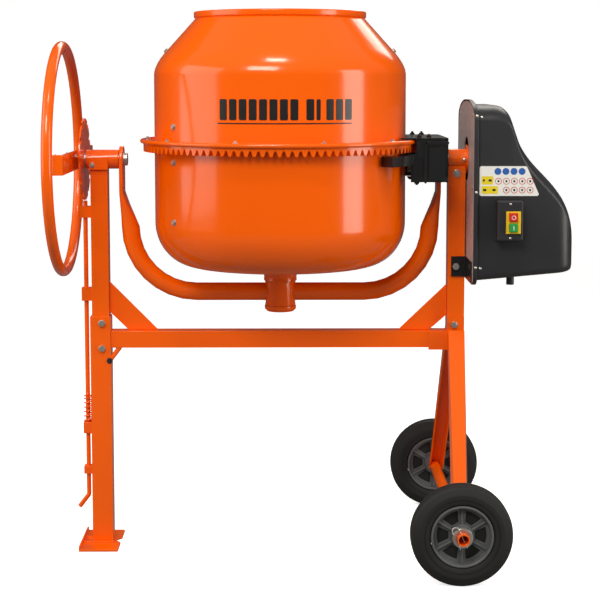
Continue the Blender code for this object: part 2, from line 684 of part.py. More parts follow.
def add_yoke():
    add_yoke_arm("yoke_left_arm", -1, LEFT_SHAFT)
    add_yoke_arm("yoke_right_arm", 1, JOURNAL)
    add_hub()
    shaft_in, shaft_out = -(YOKE_X - 0.0135), HANDWHEEL_X + 0.008
    middle = (shaft_in + shaft_out) / 2
    rod("left_tilt_shaft", LEFT_SHAFT, shaft_in - shaft_out, "X", (middle, 0, TILT_Z), ZINC, "yoke")
    start, end = YOKE_X - YOKE_FLAT / 2, RIM_X + 0.018
    at = ((start + end) / 2, 0, TILT_Z)
    ring("right_tilt_journal", JOURNAL, PINION_SHAFT + 0.0033, end - start, "X", at, STEEL, "yoke")
    add_handwheel()
    add_guard()


# ---- stand -----------------------------------------------------------------------------------
def square_tube(name, low, high, paint, axis="Z"):
    """A square tube between two ends of its middle line, hollow right through."""
    low, high = Vector(low), Vector(high)
    turn = {"Z": (0, 0, 0), "X": (math.pi / 2, 0, math.pi / 2)}[axis]
    bm = bmesh.new()
    length = (high - low).length
    outer, inner = square(TUBE), square(TUBE - 2 * TUBE_WALL)
    ends = [[bm.verts.new((*p, z)) for p in loop] for loop in (outer, inner) for z in (-length / 2, length / 2)]
    pairs = ((ends[0], ends[1]), (ends[2], ends[3]), (ends[0], ends[2]), (ends[1], ends[3]))
    for first, second in pairs:
        for i in range(4):
            j = (i + 1) % 4
            bm.faces.new((first[i], first[j], second[j], second[i]))
    return add_bmesh(name, bm, paint, "frame", (low + high) / 2, turn)


def channel(name, low, high, paint):
    """The front leg's channel: its web in front, open at the back."""
    body = box(name, low, high, paint)
    low, high = Vector(low), Vector(high)
    wall = Vector((LEG_WALL, LEG_WALL, 0))
    return boolean(body, box(name + "_inside", low + wall - Vector((0, 0, 0.01)),
                             high - Vector((LEG_WALL, -0.01, -0.01))))


def add_left_side():
    x = LEFT_POST_X
    leg_half = LEG_WIDTH / 2
    rod_x, face = DISC_X, x - TUBE / 2
    post = square_tube("left_post", (x, 0, LEG_TOP - 0.095), (x, 0, POST_TOP), ORANGE)
    reach = rod_x - 0.010
    for number, low, high in ((1, -0.137, -0.110), (2, -0.334, -0.303)):
        guide = box(f"post_guide_{number}", (reach, -0.011, TILT_Z + low), (face + 0.0015, 0.011, TILT_Z + high))
        boolean(post, guide, "UNION")
    for number, at in ((1, TILT_Z - 0.1235), (2, TILT_Z - 0.3185)):
        drill(post, ROD_RADIUS + 0.0006, 0.05, "Z", (rod_x, 0, at))
    low = (LEG_X - leg_half, -TUBE / 2 - 0.0015 - LEG_WALL, FOOT_SHEET + GAP)
    leg = channel("left_leg", low, (LEG_X + leg_half, TUBE / 2 + 0.0005, LEG_TOP), ORANGE)
    for number, low, high in ((1, 0.267, 0.294), (2, 0.169, 0.188)):
        guide = box(f"leg_guide_{number}", (reach, -0.011, low), (LEG_X - leg_half + 0.0015, 0.011, high))
        boolean(leg, guide, "UNION")
        drill(leg, ROD_RADIUS + 0.0006, 0.05, "Z", (rod_x, 0, (low + high) / 2))
    front = -TUBE / 2 - 0.0015 - LEG_WALL
    for name, z in (("leg_bolt_upper", LEG_TOP - 0.015), ("leg_bolt_lower", LEG_TOP - 0.075)):
        at = (x + 0.0035, front - GAP, z)
        drill(leg, BOLT + GAP, 0.012, "Y", (at[0], front, z))
        drill(post, BOLT + GAP, 0.010, "Y", (at[0], -TUBE / 2, z))
        hexagon_bolt(name, at, "Y", 0.014)
    half = FOOT_LENGTH / 2
    left, right = LEG_X - 0.0505, LEG_X - 0.0505 + FOOT_WIDTH
    outline = [(left, -half), (right, -half), (right, -0.021), (right - 0.0175, 0), (right, 0.021)]
    outline += [(right, half), (left, half)]
    plate = as_mesh(flat("foot_plate", [outline], FOOT_SHEET, "XY", (0, 0, FOOT_SHEET / 2), ORANGE))
    lip = box("foot_lip", (left, -half, 0.001), (left + 0.004, half, 0.013))
    boolean(plate, lip, "UNION")


def add_crossbeam():
    left = LEG_X + LEG_WIDTH / 2 + GAP
    right = RIGHT_POST_X - TUBE / 2 - GAP
    square_tube("crossbeam", (left, 0, BEAM_Z), (right, 0, BEAM_Z), ORANGE, "X")
    top = BEAM_Z + TUBE / 2 + GAP
    post_face = LEFT_POST_X + TUBE / 2 + GAP
    outline = [(post_face, top + 0.116), (post_face, top + 0.043)]
    outline += [(post_face + 0.0440, top), (post_face + 0.1145, top)]
    flat("left_brace", [outline], 0.005, "XZ", (0, 0, 0), ORANGE)
    outline = [(right, top + 0.109), (right, top + 0.035), (right - 0.040, top), (right - 0.114, top)]
    flat("right_brace", [outline], 0.005, "XZ", (0, 0, 0), ORANGE)


def leg_section(middle, along, width_web, width_open, depth):
    """Eight points of a channel's section, with its web on the outer side."""
    across = Vector((1, 0, 0))
    outward = across.cross(along).normalized()
    if outward.y * middle.y < 0:
        outward.negate()
    wall = LEG_WALL
    points = [(-width_open / 2, -depth), (-width_web / 2, 0), (width_web / 2, 0), (width_open / 2, -depth)]
    points += [(width_open / 2 - wall, -depth), (width_web / 2 - wall, -wall)]
    points += [(-width_web / 2 + wall, -wall), (-width_open / 2 + wall, -depth)]
    return [middle + across * x + outward * (y + depth / 2) for x, y in points]


def add_wheel_leg(name, side):
    """A head plate bolted to the post and the crossbeam, with a channel down to the axle."""
    top = Vector((RIGHT_POST_X, side * (TUBE / 2 + 0.0135), BEAM_Z + 0.010))
    foot = Vector((AXLE_X + 0.002, side * 0.2840, WHEEL_RADIUS - 0.0005))
    along = (foot - top).normalized()
    rings = [
        leg_section(top - along * 0.008, along, 0.038, 0.038, 0.024),
        leg_section(foot, along, 0.025, 0.037, 0.022),
    ]
    leg = loft(name, rings, ORANGE, "frame", top)
    face, back = TUBE / 2 + 0.0005, TUBE / 2 + 0.0005 + LEG_WALL
    post, half = RIGHT_POST_X, TUBE / 2
    outline = [(post - half - 0.044, BEAM_Z - half - 0.005), (post - half - 0.044, BEAM_Z + half - 0.001)]
    outline += [(post - half, BEAM_Z + half - 0.001), (post - half, BEAM_Z + half + 0.033)]
    outline += [(post + half, BEAM_Z + half + 0.033), (post + half, BEAM_Z - half - 0.005)]
    place = (0, side * (face + back) / 2, 0)
    head = as_mesh(flat(name + "_head", [outline], LEG_WALL, "XZ", place, None))
    boolean(leg, head, "UNION")
    inside = box(name + "_trim", (0.2, -face, BEAM_Z - 0.2), (0.5, face, BEAM_Z + 0.1))
    boolean(leg, inside)
    drill(leg, AXLE_RADIUS + GAP, 0.08, "Y", (AXLE_X, side * 0.284, WHEEL_RADIUS))
    drill(leg, BOLT + GAP, 0.012, "Y", (post - 0.004, side * face, BEAM_Z + half + 0.015))
    return leg


def add_right_side():
    x = RIGHT_POST_X
    low = BEAM_Z - TUBE / 2 - 0.001
    top = TILT_Z - 0.016
    post = square_tube("right_post", (x, 0, low), (x, 0, top), ORANGE)
    drill(post, RIGHT_HOUSING + GAP, 0.08, "X", (x, 0, TILT_Z))
    for side, name in ((-1, "front_wheel_leg"), (1, "rear_wheel_leg")):
        add_wheel_leg(name, side)
    z = BEAM_Z + TUBE / 2 + 0.015
    drill(post, BOLT + GAP, 0.010, "Y", (x - 0.004, -TUBE / 2, z))
    hexagon_bolt("gusset_bolt", (x - 0.004, -TUBE / 2 - 0.0005 - LEG_WALL - GAP, z), "Y", 0.014)
    axle = ring("wheel_axle", AXLE_RADIUS, AXLE_RADIUS - 0.0025, 2 * AXLE_HALF, "Y",
                (AXLE_X, 0, WHEEL_RADIUS), ZINC, "frame")
    for side in (-1, 1):
        pin_y = side * (WHEEL_TRACK + 0.038)
        hole = rod(f"axle_hole_{side}", 0.0021, 0.05, "Z", (AXLE_X, pin_y, WHEEL_RADIUS), sides=12)
        hole.rotation_euler.y = -CLIP_LEAN
        boolean(axle, hole)
    bracket_z = TILT_Z - MOTOR_DROP - 0.0665
    front = -TUBE / 2 - 0.0005
    outline = [(x - 0.012, bracket_z - 0.023), (RIM_X + 0.0002, bracket_z - 0.023)]
    outline += [(RIM_X + 0.0002, bracket_z + 0.024), (x - 0.012, bracket_z + 0.024)]
    place = (0, front - 0.002, 0)
    bracket = as_mesh(flat("motor_bracket", [outline], 0.004, "XZ", place, BLACK_PAINT))
    wing = box("bracket_wing", (RIM_X - 0.0022, -0.135, bracket_z - 0.023),
               (RIM_X + 0.0006, front - 0.001, bracket_z + 0.024))
    boolean(bracket, wing, "UNION")
    drill(bracket, BOLT + GAP, 0.012, "Y", (x - 0.001, front, bracket_z))
    drill(post, BOLT + GAP, 0.010, "Y", (x - 0.001, -TUBE / 2, bracket_z))
    hexagon_bolt("motor_bracket_bolt", (x - 0.001, front - 0.004 - GAP, bracket_z), "Y", 0.014)


def add_housings():
    x = LEFT_POST_X
    start, end = x - TUBE / 2 - 0.0105, x + 0.046
    at = ((start + end) / 2, 0, TILT_Z)
    ring("left_pivot_housing", LEFT_HOUSING, LEFT_SHAFT + GAP, end - start, "X", at, ORANGE, "frame")
    low, high = POST_TOP + GAP, TILT_Z + 0.005
    long, wide = TUBE / 2 + 0.002, LEFT_HOUSING + 0.004
    saddle = box("left_bearing_saddle", (x - long, -wide, low), (x + long, wide, high), ORANGE)
    drill(saddle, LEFT_HOUSING + GAP, 0.06, "X", (x, 0, TILT_Z))
    outer, inner = RIGHT_HOUSING, JOURNAL + GAP
    low, high = RIGHT_POST_X - TUBE / 2, RIM_X + 0.0165
    collar = RIM_X + 0.004
    profile = [(outer, high), (outer, collar), (outer + 0.010, collar), (outer + 0.010, RIM_X), (outer, RIM_X)]
    profile += [(outer, low), (inner, low), (inner, high)]
    turned("right_pivot_housing", profile, "X", (0, 0, TILT_Z), ORANGE, "frame")


# ---- lock rod --------------------------------------------------------------------------------
def add_lock():
    x, top = DISC_X, TILT_Z - DISC_RADIUS - 0.0015
    pin_z = 0.360
    at = Vector((x, 0, pin_z))
    bend = [(0, 0.119), (-0.0015, 0.1145), (-0.005, 0.1105), (-0.023, 0.087)]
    points = [(0, 0, top - pin_z)] + [(dx, 0, z - pin_z) for dx, z in bend]
    lock = as_mesh(wire("lock_rod", points, ROD_RADIUS, ORANGE, "lock", at))
    boolean(lock, box("lock_pin", (x - 0.002, -0.010, pin_z - 0.0025), (x + 0.002, 0.010, pin_z + 0.0025),
                      body="lock"), "UNION")
    low, high = 0.294 + SPRING_WIRE + GAP, pin_z - 0.0025 - SPRING_WIRE - GAP
    count = SPRING_TURNS * 10
    coil = []
    for i in range(count + 1):
        angle = 2 * math.pi * i / 10
        coil.append((SPRING_RADIUS * math.cos(angle), SPRING_RADIUS * math.sin(angle), (high - low) * i / count))
    wire("lock_spring", coil, SPRING_WIRE, ZINC, "lock", (x, 0, low), 1)


# ---- wheels ----------------------------------------------------------------------------------
def add_wheel(name, side):
    body = name + "_wheel"
    at = (AXLE_X, side * WHEEL_TRACK, WHEEL_RADIUS)
    half, crown = WHEEL_WIDTH / 2, WHEEL_RADIUS
    tyre = [(crown - 0.007, half), (crown - 0.0015, half - 0.005), (crown, half - 0.012)]
    tyre += [(crown, -half + 0.012), (crown - 0.0015, -half + 0.005), (crown - 0.007, -half)]
    tyre += [(RIM_RADIUS + 0.008, -half), (RIM_RADIUS + GAP, -half + 0.006)]
    tyre += [(RIM_RADIUS + GAP, half - 0.006), (RIM_RADIUS + 0.008, half)]
    turned(name + "_tyre", tyre, "Y", at, RUBBER, body, 28)
    windows = []
    for spoke in range(6):
        start, end = 60 * spoke + 40, 60 * spoke + 80
        windows.append(arc((0, 0), 0.055, start, end, 3) + arc((0, 0), 0.030, end - 4, start + 4, 1))
    outlines = [circle(RIM_RADIUS - 0.003, 28), circle(AXLE_RADIUS + 0.0005)] + windows
    rim = as_mesh(flat(name + "_rim", outlines, 0.012, "XZ", at, GREY_PLASTIC, body))
    barrel = ring(name + "_barrel", RIM_RADIUS, RIM_RADIUS - 0.005, WHEEL_WIDTH - 0.008, "Y", at, None, body, 28)
    boss = ring(name + "_boss", 0.023, AXLE_RADIUS + 0.0005, 0.056, "Y", at, None, body)
    boolean(rim, barrel, "UNION")
    boolean(rim, boss, "UNION")
    washer_at = (AXLE_X, side * (WHEEL_TRACK + 0.0305), WHEEL_RADIUS)
    ring(name + "_wheel_washer", 0.0225, AXLE_RADIUS + GAP, 0.0025, "Y", washer_at, ZINC, "frame")
    add_clip(name + "_r_clip", side)


def add_clip(name, side):
    """A spring clip: a straight leg through the axle, a loop, and a leg bent round the axle's side."""
    clear = AXLE_RADIUS + 0.0022
    points = [(0, -0.021), (0, 0.019)]
    points += arc((-0.0078, 0.0235), 0.0078, 0, 180, 6)
    points += [(-clear, 0.012), (-clear - 0.0009, 0), (-clear + 0.0010, -0.009), (-clear + 0.0005, -0.019)]
    c, s = math.cos(CLIP_LEAN), math.sin(CLIP_LEAN)
    points = [(x * c - z * s, 0, x * s + z * c) for x, z in points]
    at = (AXLE_X, side * (WHEEL_TRACK + 0.038), WHEEL_RADIUS)
    return wire(name, points, 0.0014, ZINC, "frame", at, 1)


# ---- drive cover, motor and switch -----------------------------------------------------------
def rounded(x, half, low, high, upper, lower):
    """A closed ring of points in the plane at x: a rectangle whose upper corners are (width, height) arcs."""
    wide, tall = min(upper[0], half * 0.98), min(upper[1], (high - low) * 0.49)
    lower = min(lower, half * 0.98, (high - low) * 0.49)
    corner = [(half - wide + wide * y, high - tall + tall * z) for y, z in arc((0, 0), 1, 0, 90, 5)]
    points = corner + [(-y, z) for y, z in reversed(corner)]
    points += arc((lower - half, low + lower), lower, 180, 270, 3)
    points += arc((half - lower, low + lower), lower, 270, 360, 3)
    return [Vector((x, y, z)) for y, z in points]


# The cover's back, as the reach past its rim and the height from the tilt axis.
COVER_LINE = (
    (0.0545, 0.128), (0.0715, 0.123), (0.0840, 0.111), (0.0905, 0.096), (0.1005, 0.067), (0.1115, 0.0395),
    (0.1290, 0.012), (0.1465, -0.009), (0.1695, -0.033), (0.1920, -0.058), (0.2110, -0.085),
    (0.2235, -0.112), (0.2290, -0.137), (0.2305, -0.173),
)


def cover_rim(x, inset):
    """The outline of the cover's rim and back plate, with an arched top."""
    low, high = TILT_Z - COVER_DROP - 0.010, TILT_Z + COVER_RISE + 0.012
    edge = COVER_HALF + COVER_EDGE
    return rounded(x, edge - inset, low + inset, high - inset, (0.150 - inset, 0.044), 0.030 - inset)


def cover_sections(inset):
    """Sections of the cover along X, moved in by its wall for the hollow."""
    low = TILT_Z - COVER_DROP
    rings = []
    start = RIM_X - (0.005 if inset else 0)
    shelf = RIM_X + 0.010 - inset
    for x in (start, shelf):
        rings.append(cover_rim(x, inset))
    corner = COVER_ROUND - inset
    line = [(0.0103, COVER_RISE), (0.030, COVER_RISE)] + [
        (reach, rise * COVER_RISE / 0.128 if rise > 0 else rise) for reach, rise in COVER_LINE
    ]
    for reach, rise in line:
        # A slanted wall keeps its thickness when it moves in both ways.
        x = RIM_X + (reach if reach > 0.02 else 0.0103 - inset) - (inset if reach > 0.08 else 0)
        end = max(0.0, (reach - COVER_REACH + COVER_ROUND) / COVER_ROUND)
        drawn = COVER_ROUND * (1 - math.sqrt(max(0.0, 1 - end * end)))
        bottom = low + 0.020 * max(0.0, reach - 0.0103) / (COVER_REACH - 0.0103) + inset + drawn * 0.15
        top = TILT_Z + rise - inset
        upper = (0.080 - inset, corner)
        rings.append(rounded(x, COVER_HALF - drawn - inset, bottom, top, upper, corner * 0.5))
    return rings


def add_cover():
    at = (RIM_X, 0, TILT_Z)
    cover = loft("drive_cover", cover_sections(0), BLACK, "frame", at)
    boolean(cover, loft("cover_hollow", cover_sections(COVER_SHEET), None, "frame", at))
    outline = [(p.y, p.z) for p in cover_rim(0, COVER_SHEET + 0.0005)]
    opening = circle(0.053, ROUND, (0, TILT_Z))
    plate = flat("drive_back_plate", [outline, opening], 0.0025, "YZ", (PLATE_X, 0, 0), PLATE_GREY)
    return plate


def add_motor():
    z = TILT_Z - MOTOR_DROP
    start, length = PULLEY_X + 0.018, 0.148
    profile = [(0, length), (0.045, length), (MOTOR_RADIUS, length - 0.012), (MOTOR_RADIUS, 0.010)]
    profile += [(MOTOR_RADIUS - 0.006, 0), (0, 0)]
    motor = turned("electric_motor", profile, "X", (start, 0, z), MOTOR_GREY, "frame", closed=False)
    plate_face = PLATE_X + 0.00125 + GAP
    foot = box("motor_foot", (plate_face, -0.040, z - MOTOR_RADIUS + 0.001), (start + 0.060, 0.040, z - 0.045))
    boolean(motor, foot, "UNION")
    profile = [(0, 0.016), (0.008, 0.016), (0.008, 0.012), (MOTOR_PULLEY + 0.004, 0.012)]
    profile += [(MOTOR_PULLEY, 0.0085), (MOTOR_PULLEY, -0.0085), (MOTOR_PULLEY + 0.004, -0.012), (0, -0.012)]
    turned("motor_pulley", profile, "X", (PULLEY_X, 0, z), STEEL, "motor", 16, closed=False)
    inner_big, inner_small = PULLEY_RADIUS + 0.0008, MOTOR_PULLEY + 0.0008
    slant = math.degrees(math.asin((inner_big - inner_small) / MOTOR_DROP))
    loops = []
    for extra in (BELT, 0):
        loop = arc((0, TILT_Z), inner_big + extra, -slant, 180 + slant, 24)
        loop += arc((0, z), inner_small + extra, 180 + slant, 360 - slant, 8)
        loops.append(loop)
    flat("drive_belt", loops, 0.014, "YZ", (PULLEY_X, 0, 0), RUBBER)


def add_switch():
    x, z = RIM_X + 0.0865, TILT_Z - 0.133
    face = -COVER_HALF - GAP
    switch = box("switch_box", (x - 0.0355, face - 0.0327, z - 0.042), (x + 0.0225, face, z + 0.048), BLACK)
    edge = switch.modifiers.new("edges", "BEVEL")
    edge.width, edge.segments, edge.limit_method = 0.003, 2, "ANGLE"
    front = face - 0.0327
    bezel = box("switch_bezel", (x - 0.0165, front - GAP - 0.0042, z - 0.025),
                (x + 0.0165, front - GAP, z + 0.025), YELLOW)
    side = 0.019
    for name, place, paint in (("stop_button", z + 0.0118, RED), ("start_button", z - 0.0118, GREEN)):
        room = side / 2 + GAP
        low = (x - room, front - 0.02, place - room)
        high = (x + room, front + 0.0065, place + room)
        hole = box(name + "_hole", low, high)
        boolean(switch, hole)
        boolean(bezel, hole)
        button = box(name, (x - side / 2, front - 0.0105, place - side / 2),
                     (x + side / 2, front - 0.0005, place + side / 2), paint, "buttons")
        edge = button.modifiers.new("edges", "BEVEL")
        edge.width, edge.segments, edge.limit_method = 0.0015, 2, "ANGLE"
    under = TILT_Z - COVER_DROP + 0.020 * (x - RIM_X) / COVER_REACH
    rod("power_inlet", 0.009, 0.020, "Z", (x + 0.007, 0.053 - COVER_HALF, under - 0.0117), BLACK)


IRON = material("cast_iron", (0.30, 0.27, 0.24), 0.55, 0.9)
STEEL_DARK = material("blade_steel", (0.16, 0.15, 0.15), 0.5, 0.9)

add_bodies()
add_drum()
add_yoke()
add_pinion_body()
add_left_side()
add_crossbeam()
add_right_side()
add_housings()
add_lock()
add_wheel("front", -1)
add_wheel("rear", 1)
add_cover()
add_motor()
add_switch()

for obj in MODEL.objects:
    if obj.type == "MESH":
        obj.data.shade_smooth()
        obj.data.set_sharp_from_angle(angle=math.radians(35))
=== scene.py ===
"""Finishes, smooth sheet-metal pieces, small hardware and a studio stage for a tilting-drum concrete mixer.

Metres, +Z up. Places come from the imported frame, and at_drum counts from the drum's axis and the tilt axis.
"""

import math
import random

import bmesh
import bpy
from bpy.props import FloatProperty, FloatVectorProperty, IntProperty, PointerProperty
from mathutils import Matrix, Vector


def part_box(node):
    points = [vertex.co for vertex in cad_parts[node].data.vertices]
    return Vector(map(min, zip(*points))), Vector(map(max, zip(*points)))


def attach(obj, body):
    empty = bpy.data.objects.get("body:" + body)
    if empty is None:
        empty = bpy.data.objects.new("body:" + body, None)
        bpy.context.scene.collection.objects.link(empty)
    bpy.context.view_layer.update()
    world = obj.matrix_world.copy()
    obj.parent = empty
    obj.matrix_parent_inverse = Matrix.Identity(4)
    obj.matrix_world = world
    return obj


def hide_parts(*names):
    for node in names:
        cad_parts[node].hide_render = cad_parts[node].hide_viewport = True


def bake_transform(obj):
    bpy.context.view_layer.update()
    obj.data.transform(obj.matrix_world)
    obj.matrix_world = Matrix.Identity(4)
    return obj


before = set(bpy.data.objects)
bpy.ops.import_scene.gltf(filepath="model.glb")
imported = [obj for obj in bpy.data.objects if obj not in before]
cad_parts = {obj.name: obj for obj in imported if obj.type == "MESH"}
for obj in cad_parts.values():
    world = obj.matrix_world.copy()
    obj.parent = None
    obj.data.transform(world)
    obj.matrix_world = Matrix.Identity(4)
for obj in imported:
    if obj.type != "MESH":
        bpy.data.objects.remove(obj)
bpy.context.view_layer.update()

bl_info = {
    "name": "Concrete Mixer Looks",
    "version": (1, 0, 0),
    "blender": (4, 5, 0),
    "location": "View3D > Sidebar > Mixer",
    "description": "Builds the smooth pieces, hardware, finishes and stage of a concrete mixer around its frame",
    "category": "Object",
}


def middle(node):
    low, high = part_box(node)
    return (low + high) / 2


def extent(node, axis):
    low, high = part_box(node)
    return high[axis] - low[axis]


# ---- places taken from the frame -------------------------------------------------------------
X, Y, Z = 0, 1, 2
DRUM_X = middle("drum_hub_housing").x
TILT_Z = middle("left_tilt_shaft").z
LEFT_POST = middle("left_post").x
RIGHT_POST = middle("right_post").x
BEAM_Z = middle("crossbeam").z
TUBE_HALF = extent("crossbeam", Z) / 2
RIM_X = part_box("drive_cover")[0].x
AXLE = Vector((middle("wheel_axle").x, 0, middle("wheel_axle").z))
WHEEL_Y = abs(middle("front_tyre").y)


# ---- sizes and colours -----------------------------------------------------------------------
def size(name, description, default, low=0.0001, high=2.0):
    return FloatProperty(
        name=name, description=description, default=default, min=low, max=high, unit="LENGTH",
        subtype="DISTANCE", precision=4,
    )


def colour(name, description, default):
    return FloatVectorProperty(
        name=name, description=description, default=default, size=3, min=0, max=1, subtype="COLOR",
    )


class MixerSizes(bpy.types.PropertyGroup):
    """Sizes of the pieces that stand in for plain solids."""

    wall: size("Drum wall", "Outer radius of the drum's straight wall", 0.2935)
    mouth: size("Mouth", "Outer radius of the drum's lip", 0.2005)
    sheet: size("Drum sheet", "Thickness of the drum's steel", 0.002)
    bead: size("Flange bead", "Radius of the rolled edge of the flange", 0.005)
    ring: size("Handwheel ring", "Radius of the handwheel's centre line", 0.2625)
    ring_tube: size("Handwheel tube", "Radius of the handwheel's tube", extent("handwheel_rim", X) / 2)
    tyre: size("Tyre", "Outer radius of a tyre", extent("front_tyre", Z) / 2)
    tyre_width: size("Tyre width", "Width of a tyre", extent("front_tyre", Y))
    bolt: size("Bolt head", "Half the width of a bolt head across its corners", 0.0085)
    softened: size("Softened edge", "Width of the bevel on folded and cut steel", 0.0009)
    spokes: IntProperty(
        name="Spokes", description="Number of spokes in a wheel's rim", default=6, min=3, max=12,
    )


class MixerColours(bpy.types.PropertyGroup):
    """Colours of the mixer's finishes."""

    enamel: colour("Enamel", "Glossy enamel of the drum and stand", (0.95, 0.122, 0.0))
    zinc: colour("Zinc", "Plated bolts, washers and clips", (0.62, 0.61, 0.58))
    black: colour("Black enamel", "Paint on the pinion's guard and the motor bracket", (0.012, 0.012, 0.013))
    plate: colour("Galvanised plate", "Back plate of the drive cover", (0.55, 0.56, 0.57))
    cover: colour("Cover plastic", "Moulded drive cover", (0.020, 0.020, 0.024))
    rubber: colour("Rubber", "Tyres, belt and plugs", (0.007, 0.0075, 0.008))
    rim: colour("Rim plastic", "Moulded wheel rims", (0.10, 0.105, 0.11))
    yellow: colour("Switch plate", "Yellow plate round the buttons", (0.80, 0.50, 0.01))
    red: colour("Stop red", "Stop button", (0.56, 0.02, 0.015))
    green: colour("Start green", "Start button", (0.02, 0.30, 0.06))
    marking: colour("Marking black", "Printed blocks on the drum", (0.010, 0.009, 0.009))
    label: colour("Label white", "Plain label on the cover", (0.80, 0.80, 0.78))


# ---- shader expressions ----------------------------------------------------------------------
class Wire:
    """A shader socket or number that can be used in expressions."""

    def __init__(self, tree, socket):
        self.tree, self.socket = tree, socket

    def _math(self, operation, a, b):
        return self.tree.node("ShaderNodeMath", {"operation": operation}, {0: a, 1: b})["Value"]

    def __add__(self, other):
        return self._math("ADD", self, other)

    def __sub__(self, other):
        return self._math("SUBTRACT", self, other)

    def __rsub__(self, other):
        return self._math("SUBTRACT", other, self)

    def __mul__(self, other):
        return self._math("MULTIPLY", self, other)

    __radd__, __rmul__ = __add__, __mul__


class Outputs:
    """The outputs of a node, each as a Wire."""

    def __init__(self, tree, node):
        self.tree, self.sockets = tree, node.outputs

    def __getitem__(self, key):
        return Wire(self.tree, self.sockets[key])


class Finish:
    """A material under construction, with one method that adds any node."""

    def __init__(self, name, tree=None):
        if tree is None:
            self.material = bpy.data.materials.new(name)
            self.material.use_nodes = True
            tree = self.material.node_tree
        self.nodes, self.links = tree.nodes, tree.links
        self.nodes.clear()
        coordinates = self.node("ShaderNodeTexCoord", {}, {})
        self.place, self.generated = coordinates["Object"], coordinates["Generated"]

    def node(self, kind, settings, inputs):
        made = self.nodes.new(kind)
        for key, value in settings.items():
            if key == "stops":
                ramp = made.color_ramp.elements
                while len(ramp) < len(value):
                    ramp.new(0.5)
                for element, (position, shade) in zip(ramp, value):
                    element.position, element.color = position, shade
            else:
                setattr(made, key, value)
        for key, value in inputs.items():
            if isinstance(value, Wire):
                self.links.new(value.socket, made.inputs[key])
            else:
                made.inputs[key].default_value = value
        return Outputs(self, made)

    def noise(self, scale, detail=3.0, roughness=0.55, stretch=None):
        place = self.place
        if stretch:
            drawn = self.node("ShaderNodeVectorMath", {"operation": "MULTIPLY"}, {0: place, 1: stretch})
            place = drawn["Vector"]
        inputs = {"Vector": place, "Scale": scale, "Detail": detail, "Roughness": roughness}
        return self.node("ShaderNodeTexNoise", {}, inputs)["Fac"]

    def between(self, value, low, high):
        """0 below low, 1 above high, and smooth between them."""
        return self.node(
            "ShaderNodeMapRange", {"interpolation_type": "SMOOTHSTEP"},
            {"Value": value, "From Min": low, "From Max": high},
        )["Result"]

    def blend(self, factor, first, second):
        return self.node("ShaderNodeMix", {"data_type": "RGBA"}, {0: factor, 6: first, 7: second})[2]

    def bump(self, height, distance, strength):
        inputs = {"Height": height, "Distance": distance, "Strength": strength}
        return self.node("ShaderNodeBump", {}, inputs)["Normal"]

    def surface(self, **inputs):
        named = {key.replace("_", " "): value for key, value in inputs.items()}
        shader = self.node("ShaderNodeBsdfPrincipled", {}, named)["BSDF"]
        self.node("ShaderNodeOutputMaterial", {}, {"Surface": shader})
        return self.material


def tint(rgb, share=1.0):
    return (*(min(1.0, max(0.0, c * share)) for c in rgb), 1.0)


# ---- finishes --------------------------------------------------------------------------------
def sprayed(name, rgb, gloss, coat, peel=0.00010):
    """Sprayed enamel: a soft drift of colour, orange peel and a few nibs of dust."""
    f = Finish(name)
    drift, peeled = f.noise(2.6, 2.0), f.noise(210.0, 1.5, 0.4)
    nibs = f.between(f.noise(420.0, 1.0), 0.74, 0.80)
    scuff = f.between(f.noise(34.0, 5.0, 0.62, (1.0, 1.0, 0.25)), 0.60, 0.78)
    base = f.blend(drift, tint(rgb, 0.93), tint(rgb, 1.05))
    base = f.blend(nibs * 0.35, base, tint(rgb, 0.72))
    normal = f.bump(peeled + nibs * 2.0, peel, 0.45)
    return f.surface(
        Base_Color=base, Roughness=drift * 0.06 + scuff * 0.07 + gloss, Coat_Weight=coat, Coat_Roughness=0.06,
        Specular_IOR_Level=0.36, Normal=normal,
    )


def plated(name, rgb, rough, grain=(1.0, 1.0, 1.0), depth=0.00003):
    """Plated or turned steel, its grain drawn out along one direction."""
    f = Finish(name)
    cloud, grained = f.noise(60.0, 4.0), f.noise(380.0, 3.0, 0.6, grain)
    base = f.blend(cloud, tint(rgb, 0.80), tint(rgb, 1.12))
    return f.surface(
        Base_Color=base, Metallic=1.0, Roughness=cloud * 0.18 + grained * 0.10 + rough,
        Normal=f.bump(grained, depth, 0.6),
    )


def moulded(name, rgb, rough, grain=0.00005, scale=900.0):
    """Moulded plastic: a fine leather grain with a slight bloom."""
    f = Finish(name)
    bloom, cells = f.noise(9.0, 4.0), f.noise(scale, 2.0, 0.7)
    base = f.blend(bloom, tint(rgb, 0.85), tint(rgb, 1.18))
    return f.surface(
        Base_Color=base, Roughness=bloom * 0.12 + cells * 0.08 + rough, Normal=f.bump(cells, grain, 0.7),
    )


def vulcanised(name, rgb, rough):
    """Rubber: matt, with pale dust in its pores and faint flow marks."""
    f = Finish(name)
    dust, pores = f.between(f.noise(28.0, 6.0, 0.7), 0.50, 0.80), f.noise(700.0, 3.0, 0.65)
    flow = f.noise(70.0, 2.0, 0.5, (1.0, 0.15, 1.0))
    base = f.blend(dust * 0.22, tint(rgb), tint([c * 2.2 + 0.012 for c in rgb]))
    return f.surface(
        Base_Color=base, Roughness=dust * 0.10 + pores * 0.10 + rough,
        Normal=f.bump(pores + flow * 0.6, 0.00009, 0.7),
    )


def galvanised(name, rgb):
    """Zinc-dipped sheet with its crystals."""
    f = Finish(name)
    crystal = f.node("ShaderNodeTexVoronoi", {}, {"Vector": f.place, "Scale": 95.0})["Distance"]
    cloud = f.noise(16.0, 4.0)
    base = f.blend(crystal * 0.9 + cloud * 0.2, tint(rgb, 0.80), tint(rgb, 1.25))
    return f.surface(
        Base_Color=base, Metallic=0.25, Roughness=crystal * 0.16 + cloud * 0.10 + 0.34,
        Normal=f.bump(crystal, 0.00002, 0.5),
    )


